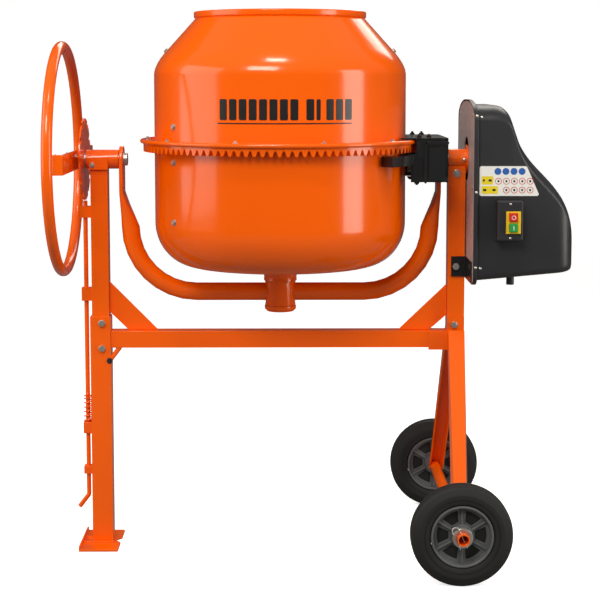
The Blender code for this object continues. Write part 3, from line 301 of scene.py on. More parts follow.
def cast(name, rgb, rough, metallic):
    """As-cast metal: sand texture with darker pits."""
    f = Finish(name)
    sand, pits = f.noise(260.0, 5.0, 0.7), f.between(f.noise(90.0, 3.0), 0.62, 0.74)
    base = f.blend(sand, tint(rgb, 0.82), tint(rgb, 1.15))
    base = f.blend(pits * 0.5, base, tint(rgb, 0.5))
    return f.surface(
        Base_Color=base, Metallic=metallic, Roughness=sand * 0.2 + rough,
        Normal=f.bump(sand - pits * 0.6, 0.0002, 0.8),
    )


def printed(name, rgb, rough=0.42):
    """Printed film or ink: nearly flat, with fine mottling."""
    f = Finish(name)
    mottle, film = f.noise(450.0, 3.0), f.noise(40.0, 3.0)
    base = f.blend(mottle * 0.6 + film * 0.4, tint(rgb, 0.90), tint(rgb, 1.08))
    return f.surface(Base_Color=base, Roughness=film * 0.12 + rough, Normal=f.bump(film, 0.00004, 0.5))


PAINTS = {}


def mix_paints(c):
    """One finish for each material slot of the record, and a few of this file's own."""
    PAINTS.update({
        "orange_paint": sprayed("orange_enamel", c.enamel, 0.15, 0.22),
        "black_paint": sprayed("black_enamel", c.black, 0.22, 0.35, 0.00018),
        "zinc_steel": plated("zinc_plate", c.zinc, 0.24),
        "machined_steel": plated("turned_steel", (0.50, 0.50, 0.51), 0.20, (0.2, 0.2, 2.5)),
        "plate_grey": galvanised("galvanised_sheet", c.plate),
        "black_plastic": moulded("cover_plastic", c.cover, 0.30),
        "rubber": vulcanised("belt_rubber", c.rubber, 0.62),
        "tyre_rubber": vulcanised("tyre_rubber_worn", c.rubber, 0.66),
        "rim_plastic": moulded("rim_moulding", c.rim, 0.40, 0.00004),
        "motor_aluminium": cast("motor_casting", (0.42, 0.43, 0.44), 0.34, 0.85),
        "yellow_plastic": moulded("switch_yellow", c.yellow, 0.34, 0.00002),
        "red_plastic": moulded("stop_red", c.red, 0.20, 0.00001),
        "green_plastic": moulded("start_green", c.green, 0.20, 0.00001),
        "cast_iron": cast("gear_iron", (0.22, 0.21, 0.20), 0.42, 0.8),
        "blade_steel": sprayed("blade_primer", (0.16, 0.15, 0.15), 0.45, 0.0, 0.0002),
        "marking": printed("marking_black", c.marking, 0.30),
        "label_white": printed("label_film", c.label),
        "label_blue": printed("label_blue_ink", (0.02, 0.11, 0.42)),
        "label_yellow": printed("label_yellow_ink", (0.78, 0.62, 0.02)),
        "label_red": printed("label_red_ink", (0.55, 0.05, 0.04)),
    })


# ---- building pieces -------------------------------------------------------------------------
def at_drum(x, y=0.0, z=0.0):
    """A point given from the drum's axis and the tilt axis."""
    return Vector((DRUM_X + x, y, TILT_Z + z))


def round_drum(radius, degrees, rise):
    """A point round the drum. 0 degrees faces the front and 90 the drive."""
    a = math.radians(degrees)
    return at_drum(radius * math.sin(a), -radius * math.cos(a), rise)


def outward_at(degrees):
    a = math.radians(degrees)
    return Vector((math.sin(a), -math.cos(a), 0))


def arc(centre, radius, start, end, steps):
    """Points of (across, up) on an arc in degrees."""
    turns = (math.radians(start + (end - start) * i / steps) for i in range(steps + 1))
    return [(centre[0] + radius * math.cos(t), centre[1] + radius * math.sin(t)) for t in turns]


def bridge(bm, first, second, wrap=True):
    """Faces between two rows of vertices, leaving out sides that have no length."""
    count = len(first)
    for i in range(count if wrap else count - 1):
        j = (i + 1) % count
        corners = []
        for vert in (first[i], first[j], second[j], second[i]):
            if vert not in corners:
                corners.append(vert)
        if len(corners) > 2 and not bm.faces.get(corners):
            bm.faces.new(corners)


def ways_round(across, aside, sides, spin=0.0):
    """Directions all round a line, evenly spaced."""
    turns = (spin + 2 * math.pi * i / sides for i in range(sides))
    return [across * math.cos(t) + aside * math.sin(t) for t in turns]


def add_turned(bm, profile, at, along, sides=24, spin=0.0, closed=False):
    """A solid turned round the line from a point. A profile row is (radius, distance along)."""
    along = Vector(along).normalized()
    across = along.orthogonal().normalized()
    ways = ways_round(across, along.cross(across), sides, spin)
    rows = []
    for radius, far in profile:
        centre = Vector(at) + along * far
        if radius < 1e-6:
            rows.append([bm.verts.new(centre)] * sides)
        else:
            rows.append([bm.verts.new(centre + way * radius) for way in ways])
    for first, second in zip(rows, rows[1:] + (rows[:1] if closed else [])):
        bridge(bm, first, second)


def add_sweep(bm, points, radius, sides=12):
    """A round bar through points, with flat ends."""
    points = [Vector(p) for p in points]
    across = (points[1] - points[0]).orthogonal().normalized()
    rows = []
    for i, point in enumerate(points):
        ahead = points[min(i + 1, len(points) - 1)] - points[max(i - 1, 0)]
        ahead.normalize()
        across = (across - ahead * across.dot(ahead)).normalized()
        ways = ways_round(across, ahead.cross(across), sides)
        rows.append([bm.verts.new(point + way * radius) for way in ways])
    for first, second in zip(rows, rows[1:]):
        bridge(bm, first, second)
    bm.faces.new(rows[0])
    bm.faces.new(rows[-1])


def add_slab(bm, outline, thickness, at, along, up=(0, 0, 1)):
    """A flat plate from an outline of (across, up), raised along its normal from a point."""
    along, up = Vector(along).normalized(), Vector(up)
    across = up.cross(along).normalized()
    up = along.cross(across)
    rows = [
        [bm.verts.new(Vector(at) + across * x + up * y + along * far) for x, y in outline]
        for far in (0.0, thickness)
    ]
    bridge(bm, *rows)
    bm.faces.new(rows[0])
    bm.faces.new(rows[1])


def rounded_outline(wide, tall, corner, steps=4, lean=0.0):
    """A rectangle with rounded corners, centred, and leaning across by a share of its height."""
    x, y = wide / 2 - corner, tall / 2 - corner
    points = []
    for i, (sx, sy) in enumerate(((1, 1), (-1, 1), (-1, -1), (1, -1))):
        points += arc((sx * x, sy * y), corner, 90 * i, 90 * i + 90, steps)
    return [(px + lean * py, py) for px, py in points]


def finish_mesh(name, bm, paint, body, replaces=(), angle=32):
    """Makes the piece: closes it up, turns its faces out, shades it and hangs it on its body, if it has one."""
    bmesh.ops.remove_doubles(bm, verts=bm.verts, dist=1e-6)
    bmesh.ops.recalc_face_normals(bm, faces=bm.faces)
    mesh = bpy.data.meshes.new(name)
    bm.to_mesh(mesh)
    bm.free()
    mesh.shade_smooth()
    mesh.set_sharp_from_angle(angle=math.radians(angle))
    mesh.materials.append(PAINTS[paint])
    obj = bpy.data.objects.new(name, mesh)
    bpy.context.scene.collection.objects.link(obj)
    if body:
        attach(obj, body)
    if replaces:
        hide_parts(*replaces)
    return obj


def add_bolt(bm, at, along, width, washer=True, stud=0.0, spin=0.0):
    """A hexagon head with a chamfered top and a dished washer, and a stud end where there is one."""
    base = 0.0
    if washer:
        outer, base = width * 1.30, width * 0.17
        disc = [(0, 0), (outer, 0), (outer, base * 0.7), (outer - base * 0.4, base), (0, base)]
        add_turned(bm, disc, at, along)
    top = base + width * 0.62
    head = [(0, base), (width, base), (width, top - width * 0.12), (width * 0.86, top), (0, top)]
    add_turned(bm, head, at, along, 6, spin)
    sunk, crown = top - 0.0001, top + width * 0.06
    add_turned(bm, [(0, sunk), (width * 0.80, sunk), (width * 0.72, crown), (0, crown)], at, along)
    if stud:
        thread = [(0, top)]
        for i in range(5):
            thread += [(width * 0.50, top + stud * (i + 0.2) / 5), (width * 0.43, top + stud * (i + 0.7) / 5)]
        add_turned(bm, thread + [(0, top + stud)], at, along, 16)


def add_dome(bm, at, along, radius, height):
    """A round-headed screw with a round recess."""
    angles = [math.radians(a) for a in (0, 20, 40, 60, 75)]
    rise = [(radius * math.cos(t), height * math.sin(t)) for t in angles]
    hole = radius * 0.24
    recess = [(hole, height), (hole * 0.8, height * 0.45), (0, height * 0.4)]
    add_turned(bm, [(0, 0)] + rise + recess, at, along, 20)


# ---- drum ------------------------------------------------------------------------------------
def flange_rise():
    """Height of the upper flange's underside over the tilt axis."""
    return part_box("upper_drum")[0].z + 0.004 - TILT_Z


def shoulder_curve(sizes, inset, steps=18):
    """The drum's rounded shoulder, from the cone down to the straight wall."""
    low = Vector((sizes.wall - inset, 0.1955))
    high = Vector((sizes.wall - 0.0285 - 0.7 * inset, 0.251 - 0.6 * inset))
    bend = Vector((sizes.wall - inset, 0.2195))
    shares = (i / steps for i in range(steps + 1))
    return [tuple(high * (1 - t) ** 2 + bend * 2 * t * (1 - t) + low * t * t) for t in shares]


def upper_wall(sizes):
    """Closed section of the upper half: rolled lip, cone, shoulder, wall and beaded flange."""
    top, low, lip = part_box("upper_drum")[1].z - TILT_Z, flange_rise(), sizes.mouth - 0.0035
    points = [(lip - 0.004, top - 0.0012), (lip - 0.0025, top)]
    points += arc((sizes.mouth - 0.0030, top - 0.0030), 0.0030, 90, 0, 5)
    points += arc((sizes.mouth - 0.0030, top - 0.0115), 0.0030, 0, -75, 5)
    points += [(lip, top - 0.0155)] + shoulder_curve(sizes, 0)
    flat = low + sizes.sheet
    points += arc((sizes.wall + 0.003, flat + 0.003), 0.003, 180, 270, 4)
    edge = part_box("upper_drum")[1].x - DRUM_X - sizes.bead
    points += [(edge - 0.003, flat)] + arc((edge, low + 0.001), sizes.bead, 120, -90, 12) + [(edge, low)]
    return points + [(sizes.wall - sizes.sheet, low)] + shoulder_curve(sizes, sizes.sheet)[::-1] + [
        (lip - sizes.sheet, top - 0.016), (lip - 0.004, top - 0.014)
    ]


def bowl_curve(sizes, inset):
    """The bowl's corner and its shallow dome, down to the axis."""
    inner = 0.200
    wide, deep, floor = sizes.wall - inner - inset, 0.103 - inset, inset - 0.265
    turns = (math.radians(a) for a in range(0, 91, 5))
    points = [(inner + wide * math.cos(t), -0.145 - deep * math.sin(t)) for t in turns]
    for i in range(9, -1, -1):
        share = i / 10
        points.append((inner * share, floor + 0.017 * share * share * (3 - 2 * share)))
    return points


def lower_wall(sizes):
    """Section of the lower half, from the axis inside, over the flange, and back to the axis outside."""
    high = flange_rise() - 0.0003
    low, edge = high - sizes.sheet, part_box("lower_drum")[1].x - DRUM_X
    points = bowl_curve(sizes, sizes.sheet)[::-1]
    points += [(sizes.wall - sizes.sheet, high), (edge, high), (edge, low)]
    return points + [(sizes.wall + 0.002, low), (sizes.wall, low - 0.002)] + bowl_curve(sizes, 0)


class MIXER_OT_drum(bpy.types.Operator):
    """Smooth rolled and pressed shells of the drum"""

    bl_idname = "mixer.drum"
    bl_label = "Drum shells"

    def execute(self, context):
        sizes = context.scene.mixer_sizes
        for name, section, closed, node in (
            ("drum_upper_shell", upper_wall(sizes), True, "upper_drum"),
            ("drum_lower_shell", lower_wall(sizes), False, "lower_drum"),
        ):
            bm = bmesh.new()
            add_turned(bm, section, at_drum(0), (0, 0, 1), 180, 0.0, closed)
            finish_mesh(name, bm, "orange_paint", "drum", (node,), 40)
        return {"FINISHED"}


def add_wall_block(bm, radius, start, end, low, high, corner):
    """A thin printed block on the drum's wall, with rounded ends, between two angles in degrees."""
    steps = max(8, int((end - start) / 0.6))
    rows = []
    half, reach = (high - low) / 2, math.degrees(corner / radius)
    for i in range(steps + 1):
        turn = start + (end - start) * (1 - math.cos(math.pi * i / steps)) / 2
        near = min(turn - start, end - turn)
        drop = 0.0 if near >= reach else corner * (1 - math.sqrt(max(0.0, 1 - (1 - near / reach) ** 2)))
        rise = half - drop
        centre = (high + low) / 2
        rows.append([
            bm.verts.new(round_drum(radius + lift, turn, centre + side * rise))
            for lift, side in ((0.0001, -1), (0.0005, -1), (0.0005, 1), (0.0001, 1))
        ])
    for first, second in zip(rows, rows[1:]):
        bridge(bm, first, second)
    bm.faces.new(rows[0])
    bm.faces.new(rows[-1])


class MIXER_OT_markings(bpy.types.Operator):
    """Plain printed blocks and a rule on the front of the drum"""

    bl_idname = "mixer.markings"
    bl_label = "Drum markings"

    def execute(self, context):
        radius = context.scene.mixer_sizes.wall
        low, high = 0.0985, 0.1440
        bm = bmesh.new()
        start, end, places = -26.3, 34.2, 14
        pitch = (end - start) / (places - 0.28)
        for place in range(places):
            if place == 8:
                continue
            begin = start + place * pitch - (0.45 * pitch if place > 8 else 0.0)
            wide = pitch * (0.40 if place == 10 else 0.76)
            add_wall_block(bm, radius, begin, begin + wide, low, high, 0.003)
        add_wall_block(bm, radius, start - 1.2, end - 0.55 * pitch + 0.6, low - 0.0085, low - 0.0060, 0.001)
        finish_mesh("drum_markings", bm, "marking", "drum")
        return {"FINISHED"}


class MIXER_OT_drum_bolts(bpy.types.Operator):
    """Bolts of the drum's flange and of its mixing blades"""

    bl_idname = "mixer.drum_bolts"
    bl_label = "Drum bolts"

    def execute(self, context):
        sizes = context.scene.mixer_sizes
        width = sizes.bolt * 0.92
        bm = bmesh.new()
        flange = flange_rise() + sizes.sheet
        for i in range(10):
            at = round_drum(0.3105, 36 * i - 18, flange)
            add_bolt(bm, at, (0, 0, 1), width * 0.80, True, 0.004, 0.4 * i)
        for half_turn in (0, 180):
            for rise in (0.080, 0.0005, -0.134):
                degrees = -54 + half_turn
                at = round_drum(sizes.wall - 0.0004, degrees, rise)
                add_bolt(bm, at, outward_at(degrees), width * 0.78)
            degrees = -90 + half_turn
            slope = (outward_at(degrees) + Vector((0, 0, 0.85))).normalized()
            add_bolt(bm, round_drum(0.2646, degrees, 0.2515), slope, width * 0.78)
        finish_mesh("drum_bolt_set", bm, "zinc_steel", "drum")
        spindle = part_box("drum_spindle")
        reach = (spindle[1].x - spindle[0].x) / 2
        top, low = spindle[1].z - TILT_Z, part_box("drum_hub_housing")[1].z - TILT_Z
        skin, face, groove = reach + 0.0001, reach + 0.0007, reach + 0.0003
        band = [(skin, low + 0.0008), (face, low + 0.0012), (face, low + 0.0070), (groove, low + 0.0078)]
        band += [(groove, low + 0.0096), (face, low + 0.0104), (face, top - 0.0010), (skin, top - 0.0004)]
        bm = bmesh.new()
        add_turned(bm, band, at_drum(0), (0, 0, 1), 72, 0.0, True)
        finish_mesh("spindle_band", bm, "orange_paint", "drum")
        return {"FINISHED"}


# ---- handwheel -------------------------------------------------------------------------------
class MIXER_OT_handwheel(bpy.types.Operator):
    """Smooth ring of the handwheel, its welds and its nuts"""

    bl_idname = "mixer.handwheel"
    bl_label = "Handwheel"

    def execute(self, context):
        sizes = context.scene.mixer_sizes
        at = Vector((middle("handwheel_rim").x, 0, TILT_Z))
        bm = bmesh.new()
        tube = arc((sizes.ring, 0), sizes.ring_tube, 0, 360, 24)[:-1]
        add_turned(bm, tube, at, (1, 0, 0), 168, 0.0, True)
        finish_mesh("handwheel_ring", bm, "orange_paint", "yoke", ("handwheel_rim",), 60)
        bm = bmesh.new()
        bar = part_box("handwheel_crossbar")
        for side in (-1, 1):
            place = Vector((bar[0].x + 0.0045, side * (sizes.ring - 0.0128), TILT_Z))
            for end in (-1, 1):
                edge = place + Vector((0, 0, end * 0.0215))
                wave = [(0.0008 * math.sin(3.1 * k), side * 0.004 * (k / 6 - 0.5), 0) for k in range(7)]
                add_sweep(bm, [edge + Vector(step) for step in wave], 0.0022, 8)
        finish_mesh("handwheel_welds", bm, "orange_paint", "yoke")
        bm = bmesh.new()
        hub = Vector((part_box("handwheel_crossbar")[1].x - 0.005, 0, TILT_Z))
        shaft_end = Vector((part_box("left_tilt_shaft")[0].x, 0, TILT_Z))
        add_bolt(bm, shaft_end, (-1, 0, 0), 0.0125, True, 0.004)
        for side in (-1, 1):
            add_bolt(bm, hub + Vector((-0.0050, side * 0.050, 0)), (-1, 0, 0), sizes.bolt * 0.8, True, 0.003)
        finish_mesh("handwheel_nuts", bm, "zinc_steel", "yoke")
        return {"FINISHED"}


# ---- wheels ----------------------------------------------------------------------------------
def tyre_section(sizes, rim):
    """Closed section of a tyre as (radius, across), with ribs along its crown."""
    half, crown = sizes.tyre_width / 2, sizes.tyre
    points = [(rim + 0.0005, half - 0.006), (rim + 0.004, half - 0.0015), (rim + 0.009, half)]
    points += arc((crown - 0.020, half - 0.006), 0.006, 90, 60, 3)
    points += arc((crown - 0.011, half - 0.013), 0.011, 62, 12, 6)
    ribs = 5
    span = 2 * (half - 0.013)
    for i in range(ribs):
        first, last = half - 0.013 - span * i / ribs, half - 0.013 - span * (i + 1) / ribs
        points += [(crown, first - 0.0012), (crown, last + 0.0016)]
        if i < ribs - 1:
            points += [(crown - 0.0022, last + 0.0010), (crown - 0.0022, last - 0.0006)]
    points += [(r, -a) for r, a in reversed(points[:13])]
    return points


class MIXER_OT_wheels(bpy.types.Operator):
    """Ribbed tyres with moulded lines, the edges, collars and spokes of the rims, and in each rim a near-black
    disc that is painted shade in its windows
    """

    bl_idname = "mixer.wheels"
    bl_label = "Wheels"

    def execute(self, context):
        sizes = context.scene.mixer_sizes
        rim = extent("front_rim", X) / 2
        for name, side in (("front", -1), ("rear", 1)):
            at, body = AXLE + Vector((0, side * WHEEL_Y, 0)), name + "_wheel"
            bm = bmesh.new()
            add_turned(bm, tyre_section(sizes, rim), at, (0, 1, 0), 120, 0.0, True)
            for face in (-1, 1):
                for radius in (rim + 0.0135, rim + 0.0260):
                    wall = at + Vector((0, face * sizes.tyre_width / 2, 0))
                    ridge = [(radius - 0.0012, -0.002), (radius - 0.0005, 0.0004), (radius + 0.0005, 0.0004)]
                    ridge += [(radius + 0.0012, -0.002)]
                    wall = wall - Vector((0, face * 0.0004, 0))
                    if radius > rim + 0.02:
                        wall = wall - Vector((0, face * 0.0012, 0))
                    add_turned(bm, ridge, wall, (0, face, 0), 96, 0.0, True)
            finish_mesh(name + "_tyre_ribbed", bm, "tyre_rubber", body, (name + "_tyre",), 30)
            bm = bmesh.new()
            for face in (-1, 1):
                lip = at + Vector((0, face * (sizes.tyre_width / 2 - 0.0042), 0))
                inside, outside = rim - 0.0055, rim - 0.0001
                edge = [(inside, -0.004), (inside, 0.0014), (rim - 0.0040, 0.0026), (rim - 0.0012, 0.0026)]
                edge += [(outside, 0.0014), (outside, -0.004)]
                add_turned(bm, edge, lip, (0, face, 0), 96, 0.0, True)
                collar = at + Vector((0, face * 0.0120, 0))
                sleeve = [(0.0232, -0.006), (0.0262, -0.006), (0.0246, 0.010), (0.0232, 0.0125)]
                add_turned(bm, sleeve, collar, (0, face, 0), 48, 0.0, True)
            ridge_line = ((0.025, 0.0098), (0.036, 0.0084), (rim - 0.012, 0.0066), (rim - 0.006, 0.0076))
            for spoke in range(sizes.spokes):
                turn = math.radians(360 / sizes.spokes * (spoke + 0.5))
                out = Vector((math.cos(turn), 0, math.sin(turn)))
                for face in (-1, 1):
                    rib = [at + out * r + Vector((0, face * lift, 0)) for r, lift in ridge_line]
                    add_sweep(bm, rib, 0.0030, 8)
            finish_mesh(name + "_rim_trim", bm, "rim_plastic", body)
            # A near-black disc inside the spokes' thickness, seen only through the rim's windows: painted shade
            # for the deep windows, in the rubber finish, darker than the rim's own plastic.
            bm = bmesh.new()
            shade_disc = [(0.0235, 0.0018), (0.040, 0.0026), (rim - 0.0052, 0.0010)]
            shade_disc += [(radius, -across) for radius, across in reversed(shade_disc)]
            add_turned(bm, shade_disc, at, (0, 1, 0), 72, 0.0, True)
            finish_mesh(name + "_rim_web", bm, "rubber", body)
        return {"FINISHED"}


# ---- drive cover -----------------------------------------------------------------------------
# The cover's back, as the reach past its rim and the height from the tilt axis.
COVER_BACK = (
    (0.0103, 0.128), (0.0300, 0.128), (0.0545, 0.128), (0.0715, 0.123), (0.0840, 0.111), (0.0905, 0.096),
    (0.1005, 0.067), (0.1115, 0.0395), (0.1290, 0.012), (0.1465, -0.009), (0.1695, -0.033), (0.1920, -0.058),
    (0.2110, -0.085), (0.2235, -0.112), (0.2290, -0.137), (0.2305, -0.173),
)
COVER_HALF, COVER_ROUND, COVER_DROP = 0.153, 0.035, 0.270


def drawn_through(points, steps):
    """More points on a smooth line through the given ones, kept from overshooting."""
    line = []
    for i in range(len(points) - 1):
        p = [Vector(points[min(max(i + k, 0), len(points) - 1)]) for k in (-1, 0, 1, 2)]
        for s in range(steps):
            t = s / steps
            a, b = (p[2] - p[0]) * 0.5, (p[3] - p[1]) * 0.5
            spot = p[1] * (2 * t**3 - 3 * t**2 + 1) + a * (t**3 - 2 * t**2 + t)
            spot += p[2] * (3 * t**2 - 2 * t**3) + b * (t**3 - t**2)
            low, high = sorted((p[1].x, p[2].x))
            spot.x = min(max(spot.x, low), high)
            line.append(tuple(spot))
    return line + [tuple(points[-1])]


def cover_ring(x, half, low, high, upper, lower):
    """One section of the cover across X: its upper corners are (wide, tall) arcs, its lower corners round."""
    wide, tall = min(upper[0], half * 0.98), min(upper[1], (high - low) * 0.49)
    corner = [(half - wide + wide * y, high - tall + tall * z) for y, z in arc((0, 0), 1, 0, 90, 14)]
    points = corner + [(-y, z) for y, z in reversed(corner)]
    points += arc((lower - half, low + lower), lower, 180, 270, 8)
    points += arc((half - lower, low + lower), lower, 270, 360, 8)
    return [Vector((x, y, z)) for y, z in points]


def cover_sections(inset):
    """Sections of the cover from its open rim to its far end, moved in by an inset for the hollow."""
    node_low, node_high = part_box("drive_cover")
    edge, reach_end = node_high.y, node_high.x - RIM_X
    rim = (edge - inset, node_low.z + inset, node_high.z - inset, (0.150 - inset, 0.044), 0.030 - inset)
    rows = [cover_ring(x, *rim) for x in (RIM_X, RIM_X + 0.0012, RIM_X + 0.0085)]
    inner = (edge - inset - 0.0015, node_low.z + inset + 0.0015, node_high.z - inset - 0.0015, rim[3], rim[4])
    rows.append(cover_ring(RIM_X + 0.010 - inset * 0.6, *inner))
    corner, begin = COVER_ROUND - inset, COVER_BACK[0][0]
    for reach, rise in drawn_through(COVER_BACK, 4):
        x = RIM_X + (reach if reach > 0.02 else reach - inset * 0.5) - (inset if reach > 0.08 else 0)
        end = max(0.0, (reach - reach_end + COVER_ROUND) / COVER_ROUND)
        drawn = COVER_ROUND * (1 - math.sqrt(max(0.0, 1 - end * end)))
        slant = 0.020 * max(0.0, reach - begin) / (reach_end - begin)
        low = TILT_Z - COVER_DROP + slant + inset + drawn * 0.15
        half, upper = COVER_HALF - drawn - inset, (0.080 - inset, corner)
        rows.append(cover_ring(x, half, low, TILT_Z + rise - inset, upper, corner * 0.5))
    return rows


class MIXER_OT_cover(bpy.types.Operator):
    """Moulded drive cover with its rim and screws"""

    bl_idname = "mixer.cover"
    bl_label = "Drive cover"

    def execute(self, context):
        bm = bmesh.new()
        shells = [
            [[bm.verts.new(p) for p in row] for row in cover_sections(inset)] for inset in (0.0, 0.0025)
        ]
        for rows in shells:
            for first, second in zip(rows, rows[1:]):
                bridge(bm, first, second)
            bm.faces.new(rows[-1])
        bridge(bm, shells[0][0], shells[1][0])
        finish_mesh("cover_shell", bm, "black_plastic", "frame", ("drive_cover",), 38)
        bm = bmesh.new()
        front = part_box("drive_cover")[0].y
        top, middle_height, bottom = 0.1047, -0.0670, -0.2379
        radius, height = 0.0034, 0.0018
        for rise in (top, middle_height, bottom):
            for side in (-1, 1):
                rim = (RIM_X + 0.0052, side * (-front - 0.0008), TILT_Z + rise)
                add_dome(bm, rim, (0, side, 0), radius, height)
                if rise != middle_height:
                    shell = (RIM_X + 0.0170, side * (COVER_HALF - 0.0004), TILT_Z + rise - 0.003)
                    add_dome(bm, shell, (0, side, 0), radius, height)
        finish_mesh("cover_screws", bm, "zinc_steel", "frame")
        return {"FINISHED"}


def add_disc(bm, at, radius, lift, hole=0.0):
    """A printed disc or ring on the cover's front."""
    section = [(hole, 0), (radius, 0), (radius, -lift), (hole, -lift)]
    add_turned(bm, section, at, (0, 1, 0), 40, 0.0, hole > 0)


class MIXER_OT_label(bpy.types.Operator):
    """Plain label on the cover with coloured discs and blocks"""

    bl_idname = "mixer.label"
    bl_label = "Cover label"

    def execute(self, context):
        front = -COVER_HALF - 0.0002
        left, low = RIM_X + 0.0137, TILT_Z - 0.0757
        wide, wide_top, tall, corner = 0.1344, 0.1084, 0.0674, 0.005
        outline = arc((corner, corner), corner, 180, 270, 5)
        outline += arc((wide - corner, corner), corner, 270, 352, 5)
        outline += arc((wide_top - corner, tall - corner), corner, 10, 90, 5)
        outline += arc((corner, tall - corner), corner, 90, 180, 5)
        bm = bmesh.new()
        add_slab(bm, outline, 0.0004, (left, front, low), (0, -1, 0))
        finish_mesh("cover_label", bm, "label_white", "frame")
        printed_y, ink = front - 0.0004, 0.0002
        pitch, squeeze = 0.0182, 0.985
        first_ring, upper_row, lower_row = 0.0428, 0.0334, 0.0134
        blue = bmesh.new()
        for i in range(4):
            add_disc(blue, (left + 0.0412 + pitch * i, printed_y, low + 0.0555), 0.0078, ink)
        finish_mesh("label_blue_discs", blue, "label_blue", "frame")
        red = bmesh.new()
        for i in range(5):
            x = left + first_ring + pitch * i * squeeze
            for rise in (upper_row, lower_row) if i else (upper_row,):
                add_disc(red, (x, printed_y, low + rise), 0.0076, ink, 0.0062)
        finish_mesh("label_red_rings", red, "label_red", "frame")
        yellow = bmesh.new()
        for x, z, w, h in ((0.0178, 0.0353, 0.0262, 0.0186), (0.0232, 0.0136, 0.0370, 0.0176)):
            at = (left + x, printed_y, low + z)
            add_slab(yellow, rounded_outline(w, h, 0.0015), ink, at, (0, -1, 0))
        finish_mesh("label_yellow_blocks", yellow, "label_yellow", "frame")
        dark = bmesh.new()
        spots = [(0.0100, 0.0353, 0.0040), (0.0240, 0.0353, 0.0070)]
        spots += [(0.0120, 0.0136, 0.0070), (0.0330, 0.0136, 0.0070)]
        spots += [(first_ring + pitch * i * squeeze, upper_row, 0.0042) for i in range(5)]
        spots += [(first_ring + pitch * i * squeeze, lower_row, 0.0042) for i in range(1, 5)]
        for x, z, w in spots:
            at = (left + x, printed_y - ink, low + z)
            add_slab(dark, rounded_outline(w, 0.0050, 0.0010, 3), ink, at, (0, -1, 0))
        finish_mesh("label_dark_blocks", dark, "marking", "frame")
        return {"FINISHED"}


class MIXER_OT_switch(bpy.types.Operator):
    """Gasket, screws and plain raised marks of the switch"""

    bl_idname = "mixer.switch"
    bl_label = "Switch details"

    def execute(self, context):
        low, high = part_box("switch_box")
        centre = (low + high) / 2
        bm = bmesh.new()
        gasket = rounded_outline(high.x - low.x + 0.007, high.z - low.z + 0.007, 0.006)
        add_slab(bm, gasket, 0.0030, (centre.x, -COVER_HALF - 0.0001, centre.z), (0, -1, 0))
        finish_mesh("switch_gasket", bm, "rubber", "frame")
        bm = bmesh.new()
        for side in (-1, 1):
            at = (centre.x, low.y + 0.0003, centre.z + side * (high.z - centre.z - 0.0065))
            add_dome(bm, at, (0, -1, 0), 0.0028, 0.0014)
        finish_mesh("switch_screws", bm, "zinc_steel", "frame")
        for node, name in (("stop_button", "stop"), ("start_button", "start")):
            low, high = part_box(node)
            at = Vector(((low.x + high.x) / 2, low.y + 0.0001, (low.z + high.z) / 2))
            bm = bmesh.new()
            if name == "stop":
                ring = [(0.0036, 0), (0.0048, 0), (0.0048, 0.0004), (0.0036, 0.0004)]
                add_turned(bm, ring, at, (0, -1, 0), 32, 0.0, True)
            else:
                add_slab(bm, rounded_outline(0.0016, 0.0096, 0.0006, 3), 0.0004, at, (0, -1, 0))
            finish_mesh(name + "_mark", bm, "label_white", name)
        return {"FINISHED"}


# ---- stand and yoke --------------------------------------------------------------------------
def weld_bead(bm, points, radius=0.0022, ripple=0.0004):
    """A rippled bead of weld along straight runs between points."""
    run = []
    for a, b in zip(points, points[1:]):
        a, b = Vector(a), Vector(b)
        count = max(3, int((b - a).length / 0.004))
        run += [a.lerp(b, i / count) for i in range(count)]
    run.append(Vector(points[-1]))
    wobble = random.Random(7)
    run = [p + Vector([wobble.uniform(-1, 1) for _ in range(3)]) * ripple for p in run]
    add_sweep(bm, run, radius, 8)


